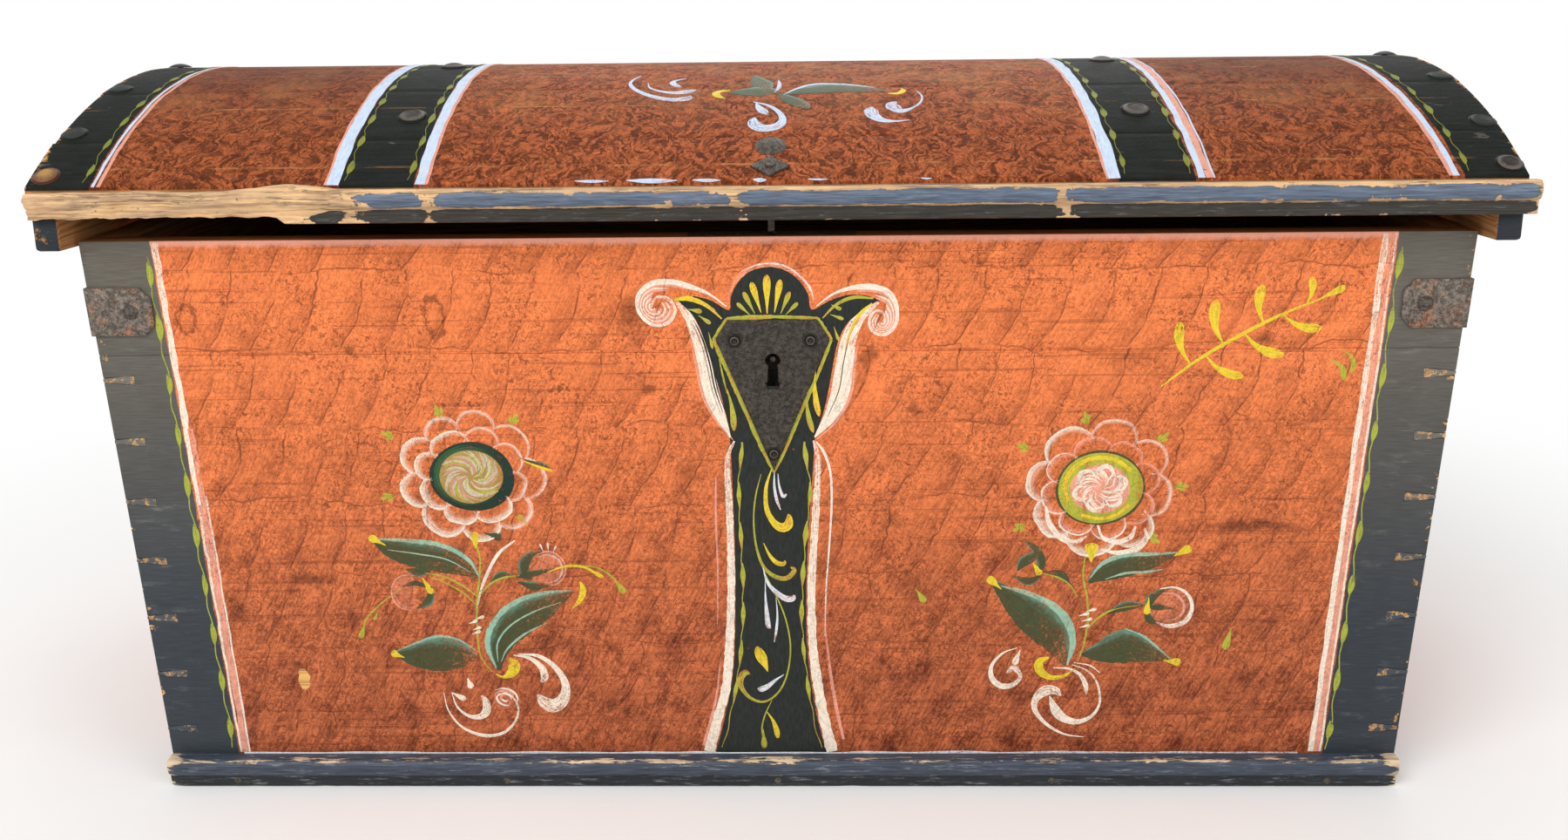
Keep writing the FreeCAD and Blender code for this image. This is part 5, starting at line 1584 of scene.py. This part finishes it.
def right_flower(p):
    """The right plant: its flower, stem and large leaves."""
    x, z = 272.5, 274
    scallops(p["petal"], p["cream"], p["pink"], x, z, 53.5, 52, (1, 1.1, 1.2, 1, 1.1, 1.2, 1, 1.1), 0.25,
             4.8, 0.05)
    scallops(p["pale petal"], p["cream"], p["pink"], x, z, 42.5, 39.5, (1, 1.1, 1, 1.1, 1, 1, 1.1, 1),
             0.62, 4.2, 0.10)
    c = p["cream"]
    c.stroke([(228, 258, 1), (231, 243, 2.6), (241, 231, 3), (253, 226, 2.6), (263, 231, 0.8)], 0.14, 2)
    c.stroke([(272, 241, 0.8), (277, 230, 2), (289, 226, 2.6), (300, 230, 2.2), (304, 240, 0.8)], 0.14, 2)
    c.stroke([(276, 219, 0.6), (290, 216, 2), (305, 219, 2.8), (313, 229, 2.6), (312, 238, 0.8)], 0.14, 2)
    p["leaf"].blot(oval(x, z, 37, 33.5, 1.2), 0.12)
    p["olive"].blot(oval(x, z, 35.3, 31.8, 0.8), 0.2)
    p["yellow"].stroke([(x + 30 * math.cos(a), z + 27 * math.sin(a), 2.6)
                        for a in (0.6, 1.2, 1.8, 2.4, 3, 3.6)], 0.28, 3)
    p["yellow"].stroke([(x + 30 * math.cos(a), z + 27 * math.sin(a), 2) for a in (4.2, 4.7, 5.2, 5.7)],
                       0.28, 3)
    p["pink"].blot(oval(x, z - 0.5, 25, 22, 2.2), 0.30)
    swirl(p, x, z, 24, 21.5, ("cream", "cream", "pink"), 0.40, 1)
    for i in range(6):
        a = math.tau * i / 6 + 0.3
        px, pz = x + 15 * math.cos(a), z + 13.5 * math.sin(a)
        c.stroke([(px + 7 * math.cos(a + t), pz + 6.4 * math.sin(a + t), w)
                  for t, w in ((-2.4, 0.5), (-1.2, 1.5), (0, 2.2), (1.2, 1.6), (2.3, 0.5))], 0.46, 2)
    for angle, reach in ((0.02, 62), (0.75, 62), (1.80, 60), (2.62, 70), (3.65, 70), (-0.78, 62)):
        sprig(p, x + reach * math.cos(angle), z + reach * 0.95 * math.sin(angle), angle)
    p["yellow"].drop(268, 208, 268, 225, 6, 0.2)
    p["olive"].stroke([(263, 212, 0.6), (262, 195, 0.8), (266, 176, 0.9), (268, 156, 0.9),
                       (266, 134, 0.9), (261, 114, 0.6)], 0.05)
    paint_leaf(p, [(267, 189, 1.5), (277, 197, 7.5), (295, 204, 10.5), (316, 208, 8), (339, 214, 1.2)],
               [(268, 193, 0.6), (279, 207, 1.8), (298, 214, 2.2), (318, 214.5, 1.8), (341, 216, 0.6)],
               [(281, 192, 0.4), (298, 197.5, 1.3), (316, 198.5, 1.2), (331, 201, 0.4)])
    p["yellow"].drop(338, 213, 352, 221, 3.8, 0.14)
    paint_leaf(p, [(184, 191, 1.5), (198, 178, 8), (216, 162, 15), (234, 146, 16), (245, 128, 10),
                   (251, 111, 1.5)],
               [(252, 112, 0.8), (256, 132, 2.6), (251, 152, 3.4), (237, 168, 3), (216, 179, 2.2),
                (192, 186, 0.6)])
    p["yellow"].drop(193, 183, 181, 194, 3.6, 0.14)
    paint_leaf(p, [(264, 122, 1.5), (281, 124, 10), (300, 129, 16), (321, 124, 10), (342, 116, 1.2)],
               [(300, 146, 0.4), (316, 139, 1), (329, 128, 1), (341, 117, 0.4)])
    p["yellow"].drop(335, 116, 350, 114, 3.4, 0.14)
    for x0, z0 in ((264, 159), (267, 154), (270, 163), (265, 148)):
        c.drop(x0 - 4, z0 - 1, x0 + 5, z0 + 1.5, 1.4, 0.14)


def right_buds(p):
    """The two side buds of the right plant."""
    c = p["cream"]
    paint_leaf(p, [(206, 200, 0.8), (211, 208, 4.5), (220, 214, 3.6), (226, 222, 0.6)])
    paint_leaf(p, [(224, 196, 0.8), (226, 208, 4), (220, 220, 3.2), (210, 228, 0.6)])
    paint_leaf(p, [(226, 195, 0.6), (216, 190, 3.6), (202, 195, 0.6)])
    paint_leaf(p, [(252, 186, 0.6), (243, 196, 4), (230, 198, 0.6)])
    p["yellow"].drop(219, 207, 226, 196, 3, 0.14)
    p["olive"].stroke([(258, 176, 0.4), (250, 188, 0.8), (240, 194, 0.9), (228, 197, 0.5)], 0.1)
    p["olive"].stroke([(268, 146, 0.4), (279, 158, 1), (294, 165, 1.2), (312, 168, 0.8)], 0.05)
    p["wash"].blot(oval(338, 166, 18, 18))
    paint_leaf(p, [(284, 160, 0.8), (300, 167, 4.5), (316, 168, 1)])
    paint_leaf(p, [(318, 160, 0.8), (321, 172, 5), (329, 180, 3), (337, 183, 0.6)])
    paint_leaf(p, [(318, 166, 0.8), (327, 166, 5), (340, 165, 0.8)])
    paint_leaf(p, [(317, 164, 0.8), (321, 155, 4), (331, 150, 0.6)])
    p["yellow"].drop(319, 175, 318, 159, 3, 0.14)
    c.stroke([(328, 183, 0.4), (341, 184, 1), (352, 177, 1.6), (356, 165, 2), (351, 153, 2.6),
              (338, 148.5, 2.2), (326, 152, 0.5)], 0.1, 2)
    p["pink"].stroke([(330, 179, 0.5), (341, 178, 1.4), (348, 171, 1.8), (349, 162, 1.8), (343, 155, 1.4),
                      (334, 153, 0.5)], 0.06, 2)


def right_scrolls(p):
    """The scrolls at the foot of the right plant."""
    c = p["cream"]
    p["yellow"].stroke([(236, 119, 0.8), (228, 115, 3.4), (229, 106, 3.8), (238, 100, 2.4),
                        (249, 101, 1.6), (259, 108, 0.5)], 0.14, 2)
    c.stroke([(208, 128, 0.3), (196, 123, 0.9), (187, 112, 1.5), (187, 100, 2.4), (195, 92, 2.8),
              (206, 93, 2.2), (212, 101, 1.6), (206, 109, 2.6), (200, 104, 1)], 0.1, 2)
    c.drop(211, 126, 206, 112, 2.8, 0.1)
    c.stroke([(270, 42, 0.3), (252, 45, 0.9), (236, 55, 1.5), (226, 68, 2.2), (226, 79, 3.2),
              (234, 87, 4.8), (243, 87, 3.8), (248, 82, 0.8)], 0.1, 2)
    c.stroke([(238, 82, 0.6), (244, 68, 4.2), (252, 60, 3.6), (264, 57, 2.4), (276, 63, 1.5),
              (282, 76, 1.1), (279, 94, 0.9), (270, 106, 0.7), (256, 112, 0.3)], 0.1, 2)
    c.stroke([(240, 109, 0.3), (254, 108, 1), (264, 102, 1.6), (269, 92, 2.2), (270, 83, 0.6)], 0.1, 2)
    c.stroke([(258, 114, 0.3), (272, 111, 0.7), (281, 104, 0.4)], 0.1, 2)
    p["olive"].drop(120, 183, 128, 171, 2.8, 0.05)
    p["olive"].drop(391, 146, 387, 126, 3.2, 0.05)


def sprays(p):
    """A loose leafy spray in yellow at the upper right, and a smaller one under it."""
    yellow = p["yellow"]
    yellow.stroke([(318, 362, 0.5), (346, 384, 1.3), (378, 404, 1.5), (412, 422, 1.3), (446, 436, 0.5)],
                  0.05)
    pairs = ((340, 381, 330, 416, 4), (352, 388, 384, 370, 3.6), (366, 397, 358, 434, 4.4),
             (382, 406, 416, 388, 4), (397, 414, 394, 446, 4), (412, 421, 444, 410, 3.6),
             (430, 430, 432, 452, 3))
    for x0, z0, x1, z1, wide in pairs:
        yellow.drop(x0, z0, x1, z1, wide, 0.05, 0.12 if x1 < x0 else -0.12)
    yellow.drop(440, 434, 460, 444, 2.8, 0.05)
    p["olive"].drop(452, 384, 466, 366, 2.6, 0.05, 0.2)
    p["olive"].drop(462, 392, 472, 372, 2.2, 0.05, 0.2)


class TRUNK_OT_front_ornament(bpy.types.Operator):
    """Paints the pillar, the borders, the two flowers and their scrolls on the front"""
    bl_idname = "trunk.front_ornament"
    bl_label = "Front ornament"

    def execute(self, context):
        names = ("black", "wash", "cream", "pink", "yellow", "olive", "leaf", "teal", "petal",
                 "pale petal", "white", "deep green", "mid green", "heart", "heart cream", "heart pink")
        paints = {name: Brush(front_place, number) for number, name in enumerate(names, 5)}
        for part in (borders, pillar, capital, pillar_scroll, left_flower, left_buds, left_scrolls,
                     right_flower, right_buds, right_scrolls, sprays):
            part(paints)
        for name, brush in paints.items():
            piece = brush.lay("front_%s_strokes" % name.replace(" ", "_"), "chest", "front " + name,
                              "painted_front")
            if name == "black":
                self.open_keyhole(piece)
        return {"FINISHED"}

    def open_keyhole(self, piece):
        """Cuts the black paint away behind the keyhole."""
        low, high = (Vector(corner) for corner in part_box("keyhole_plate"))
        below_top = 0.018
        wide, deep, tall = 0.020, 0.020, 0.038
        middle = ((low.x + high.x) / 2, front_face_y, high.z - below_top - tall / 2)
        clear_selection()
        bpy.ops.mesh.primitive_cube_add(size=1, location=middle)
        cutter = bpy.context.object
        bpy.ops.transform.resize(value=(wide, deep, tall))
        make_active(piece)
        cut = piece.modifiers.new("keyhole", "BOOLEAN")
        cut.object = cutter
        cut.solver = "EXACT"
        bpy.ops.object.modifier_apply(modifier="keyhole")
        bpy.data.objects.remove(cutter)


def lid_bands(p):
    """Lines and vines along the lid's black bands."""
    white = p["white"]
    pink = p["pink"]
    olive = p["olive"]
    end = dome_length()
    half = end / 2
    arcs = [0.3 + (end - 0.6) * i / 40 for i in range(41)]

    def slant(x, rate):
        return lambda arc: x + rate * abs(arc - half)

    lines = ((white, slant(-343, 0), 5.4), (pink, slant(-348.5, 0), 1),
             (white, slant(-273.5, 0), 4.6), (pink, slant(-268.5, 0), 1.4),
             (white, slant(253, 0.046), 5), (pink, slant(247.5, 0.046), 1.2),
             (white, slant(321.5, 0.044), 2.7), (pink, slant(326.5, 0.044), 3),
             (white, slant(330.5, 0.044), 0.8), (white, slant(519, 0.035), 2.6),
             (pink, slant(514.5, 0.036), 1.8), (white, slant(-532.5, 0), 1.3),
             (pink, slant(-528.5, 0), 1.5))
    for brush, edge, width in lines:
        chance = brush.chance
        brush.stroke([(edge(arc) + chance.uniform(-0.6, 0.6), arc, width * chance.uniform(0.85, 1.1))
                      for arc in arcs], 0.05, 8)
    vines = (slant(-333, 0), slant(-283, 0), slant(263.5, 0.044), slant(314, 0.044), slant(-541, 0),
             slant(531, 0.035))
    for edge in vines:
        olive.vine(edge, 6, end - 6, 37, 2.5, 0.3)


def lid_spray(p):
    """Scrolls and leaves in the lid's middle field, and touches along its front edge."""
    w = p["white"]
    leaf = p["leaf"]
    yellow = p["yellow"]
    w.stroke([(-119, 204, 0.3), (-125, 186, 1.2), (-124, 170, 1.8), (-114, 152, 2.4), (-99, 139, 3),
              (-84, 133, 3.8), (-73, 136, 4.6), (-71, 142, 1.2)], 0.08, 2.5)
    w.stroke([(-110, 178, 0.3), (-107, 164, 1), (-97, 154, 1.8), (-84, 150, 3.2), (-73, 153, 4.4),
              (-67, 157, 1.2)], 0.08, 2.5)
    w.stroke([(-78, 192, 0.3), (-87, 185, 1.6), (-88, 176, 3), (-83, 168, 2.4), (-80, 165, 0.6)], 0.08,
             2.5)
    leaf.stroke([(-38, 148, 1.5), (-24, 150, 9), (-8, 152, 12), (6, 149, 2)], 0, 3, 0.1)
    leaf.stroke([(-18, 200, 1), (-14, 186, 7), (-10, 172, 10), (-4, 156, 3)], 0, 3, 0.1)
    leaf.stroke([(10, 143, 1.5), (28, 153, 9), (50, 158, 11), (74, 155, 8), (98, 149, 1.2)], 0, 3, 0.1)
    leaf.stroke([(4, 146, 1), (14, 132, 7), (26, 118, 6), (30, 110, 1)], 0, 3, 0.1)
    w.stroke([(9, 142, 0.4), (20, 157, 1.4), (34, 169, 2), (52, 170, 1.8), (72, 165, 1.4),
              (88, 158, 0.4)], 0.1, 2.5)
    w.stroke([(4, 184, 0.4), (5, 170, 1.8), (4, 158, 1.6), (1, 148, 0.4)], 0.1, 2.5)
    yellow.stroke([(-37, 154, 0.6), (-46, 152, 2.6), (-49, 145, 3.4), (-44, 137, 2.2), (-40, 134, 0.5)],
                  0.1, 2)
    yellow.stroke([(98, 143, 0.6), (106, 143, 2.2), (111, 149, 2.6), (110, 156, 0.6)], 0.1, 2)
    w.stroke([(-16, 126, 0.3), (-4, 119, 1.4), (5, 106, 2.2), (9, 92, 3), (6, 81, 4.6), (-3, 76, 5.4),
              (-12, 79, 6), (-15, 88, 4.6), (-14, 95, 1)], 0.1, 2)
    w.stroke([(-14, 124, 0.3), (-11, 114, 3), (-7, 106, 4), (-4, 100, 1)], 0.1, 2)
    w.stroke([(113, 88, 0.3), (102, 86, 1.2), (91, 88, 3.4), (84, 96, 5.4), (82, 106, 5.8),
              (83, 113, 1.2)], 0.1, 2)
    w.stroke([(122, 150, 0.2), (126, 136, 0.8), (124, 122, 0.9), (117, 111, 1.2), (108, 105, 3.4),
              (102, 110, 6), (100, 118, 5), (104, 124, 1)], 0.1, 2)
    for x0, x1, size in ((-152, -126, 1.6), (-112, -72, 2.6), (-60, -38, 1.8), (-13, -2, 2.2),
                         (30, 46, 1), (118, 126, 0.9)):
        w.stroke([(x0, 3, 0.4), ((x0 * 2 + x1) / 3, 2.4, size), ((x0 + x1 * 2) / 3, 2.2, size),
                  (x1, 2.6, 0.4)], 0.05, 4)


class TRUNK_OT_lid_ornament(bpy.types.Operator):
    """Paints the lid's band lines, vines and its spray of scrolls"""
    bl_idname = "trunk.lid_ornament"
    bl_label = "Lid ornament"

    def execute(self, context):
        names = ("pink", "yellow", "olive", "leaf", "white")
        paints = {name: Brush(lid_place, number) for number, name in enumerate(names, 25)}
        lid_bands(paints)
        lid_spray(paints)
        for name, brush in paints.items():
            brush.lay("lid_%s_strokes" % name, "lid", "lid " + name, "painted_lid")
        return {"FINISHED"}


# Ironwork

class TRUNK_OT_ironwork(bpy.types.Operator):
    """Rounds the edges of the keyhole plate, corner irons, nails, rivets, roves and handles"""
    bl_idname = "trunk.ironwork"
    bl_label = "Ironwork"

    def execute(self, context):
        for side in ("left", "right"):
            for end in ("front", "back"):
                self.iron("%s_%s_corner_iron" % (side, end), "rusty iron", "chest", 0.005)
        self.iron("keyhole_plate", "dark iron", "chest", 0.005)
        mark_heads(self.iron("keyhole_plate_nails", "nail iron", "chest"), self.forward)
        self.iron("corner_iron_nails", "plain iron", "chest")
        mark_heads(self.iron("hinge_strap_rivets", "nail iron", "lid"), self.from_dome)
        mark_heads(self.iron("lid_end_nails", "lid nail iron", "lid"), self.from_dome)
        self.iron("staple_round_rove", "plain iron", "lid")
        self.iron("staple_diamond_rove", "plain iron", "lid")
        for side in ("left", "right"):
            self.iron(side + "_handle", "plain iron", side + "_handle")
        for part in ("eyes", "rosettes"):
            for side in ("left", "right"):
                self.iron("%s_handle_%s" % (side, part), "plain iron", "chest")
        return {"FINISHED"}

    def iron(self, name, finish, body, shortest=0.006):
        piece = softened(name, sizes().iron_rounding, shortest)
        finish_piece(piece, body, finish, "wrought_iron", name)
        return piece

    def forward(self, centre):
        return Vector((0, -1, 0))

    def from_dome(self, centre):
        out = centre - dome_centre()
        out.x = 0
        return out.normalized()


# Stage

class TRUNK_OT_stage(bpy.types.Operator):
    """Sets a pale floor, soft studio light and the camera"""
    bl_idname = "trunk.stage"
    bl_label = "Stage"

    def execute(self, context):
        context.scene.view_settings.view_transform = "Standard"
        self.floor()
        self.world(context.scene)
        self.lamp("key lamp", (-1.3, -2.2, 2.4), size=2.2, power=60)
        self.lamp("fill lamp", (1.9, -1.9, 1.6), size=2.0, power=22)
        self.lamp("back lamp", (0.2, 1.9, 2.4), size=2.4, power=26)
        self.camera(context.scene)
        return {"FINISHED"}

    def floor(self):
        """A pale floor that keeps the trunk's shadow and turns to plain white farther off."""
        clear_selection()
        bpy.ops.mesh.primitive_grid_add(x_subdivisions=4, y_subdivisions=4, size=40,
                                        location=(0, 0, -0.0005))
        floor = bpy.context.object
        floor.name = "studio_floor"
        bench = new_finish("studio floor")
        place = bench.place()
        base = (place.noise(0.02, 3) * 0.02 + 0.97).shade(tone("floor"))
        near = bench.put("ShaderNodeBsdfPrincipled",
                         {"Base Color": base, "Roughness": 0.95, "Specular IOR Level": 0.1})
        far = bench.put("ShaderNodeEmission", {"Color": (1, 1, 1, 1)})
        away = bench.put("ShaderNodeVectorMath", (place,), 1, operation="LENGTH").ease(650, 1500)
        bench.outputs("ShaderNodeOutputMaterial", [bench.put("ShaderNodeMixShader", (away, near, far))])
        cover(floor, "studio floor")

    def world(self, scene):
        world = bpy.data.worlds.new("studio")
        scene.world = world
        world.use_nodes = True
        bench = Bench(world.node_tree)
        rays = bench.outputs("ShaderNodeLightPath")
        camera, glossy, transmission = rays[0], rays[3], rays[6]
        strength = most(camera, glossy, transmission) * 0.45 + 0.55
        back = bench.put("ShaderNodeBackground", {"Color": (1, 1, 1, 1), "Strength": strength})
        bench.outputs("ShaderNodeOutputWorld", (back,))

    def lamp(self, name, place, size, power):
        bpy.ops.object.light_add(type="AREA", location=place)
        lamp = bpy.context.object
        lamp.name = name
        lamp.data.shape = "DISK"
        lamp.data.size = size
        lamp.data.energy = power
        aim = Vector((0, 0, 0.3)) - Vector(place)
        lamp.rotation_euler = aim.to_track_quat("-Z", "Y").to_euler()

    def camera(self, scene):
        bpy.ops.object.camera_add(location=(0.0349, -1.4472, 0.6826))
        camera = bpy.context.object
        camera.name = "photo camera"
        yaw, pitch, roll = math.radians(-1.288), math.radians(16.584), math.radians(-0.666)
        level = Vector((math.sin(yaw), math.cos(yaw), 0))
        across = Vector((math.cos(yaw), -math.sin(yaw), 0))
        ahead = level * math.cos(pitch) - Vector((0, 0, math.sin(pitch)))
        upright = level * math.sin(pitch) + Vector((0, 0, math.cos(pitch)))
        right = across * math.cos(roll) + upright * math.sin(roll)
        top = upright * math.cos(roll) - across * math.sin(roll)
        camera.rotation_euler = Matrix((right, top, -ahead)).transposed().to_euler()
        camera.data.sensor_width = 36
        camera.data.lens = 33.754
        camera.data.clip_end = 100
        scene.camera = camera


class TRUNK_PT_panel(bpy.types.Panel):
    """Lists the steps that dress the trunk"""
    bl_idname = "TRUNK_PT_panel"
    bl_label = "Painted trunk"
    bl_space_type = "VIEW_3D"
    bl_region_type = "UI"
    bl_category = "Trunk"

    def draw(self, context):
        for step in steps:
            self.layout.operator(step.bl_idname)
        for group in (context.scene.trunk_sizes, context.scene.trunk_colours):
            for name in group.__annotations__:
                self.layout.prop(group, name)


steps = (TRUNK_OT_finishes, TRUNK_OT_boards, TRUNK_OT_staves, TRUNK_OT_mouldings, TRUNK_OT_front_ornament,
         TRUNK_OT_lid_ornament, TRUNK_OT_ironwork, TRUNK_OT_stage)
classes = (TrunkSizes, TrunkColours) + steps + (TRUNK_PT_panel,)


def register():
    for item in classes:
        bpy.utils.register_class(item)
    bpy.types.Scene.trunk_sizes = bpy.props.PointerProperty(type=TrunkSizes)
    bpy.types.Scene.trunk_colours = bpy.props.PointerProperty(type=TrunkColours)


def unregister():
    del bpy.types.Scene.trunk_colours
    del bpy.types.Scene.trunk_sizes
    for item in reversed(classes):
        bpy.utils.unregister_class(item)


def main():
    register()
    for step in steps:
        group, name = step.bl_idname.split(".")
        getattr(getattr(bpy.ops, group), name)()


if __name__ == "__main__":
    main()
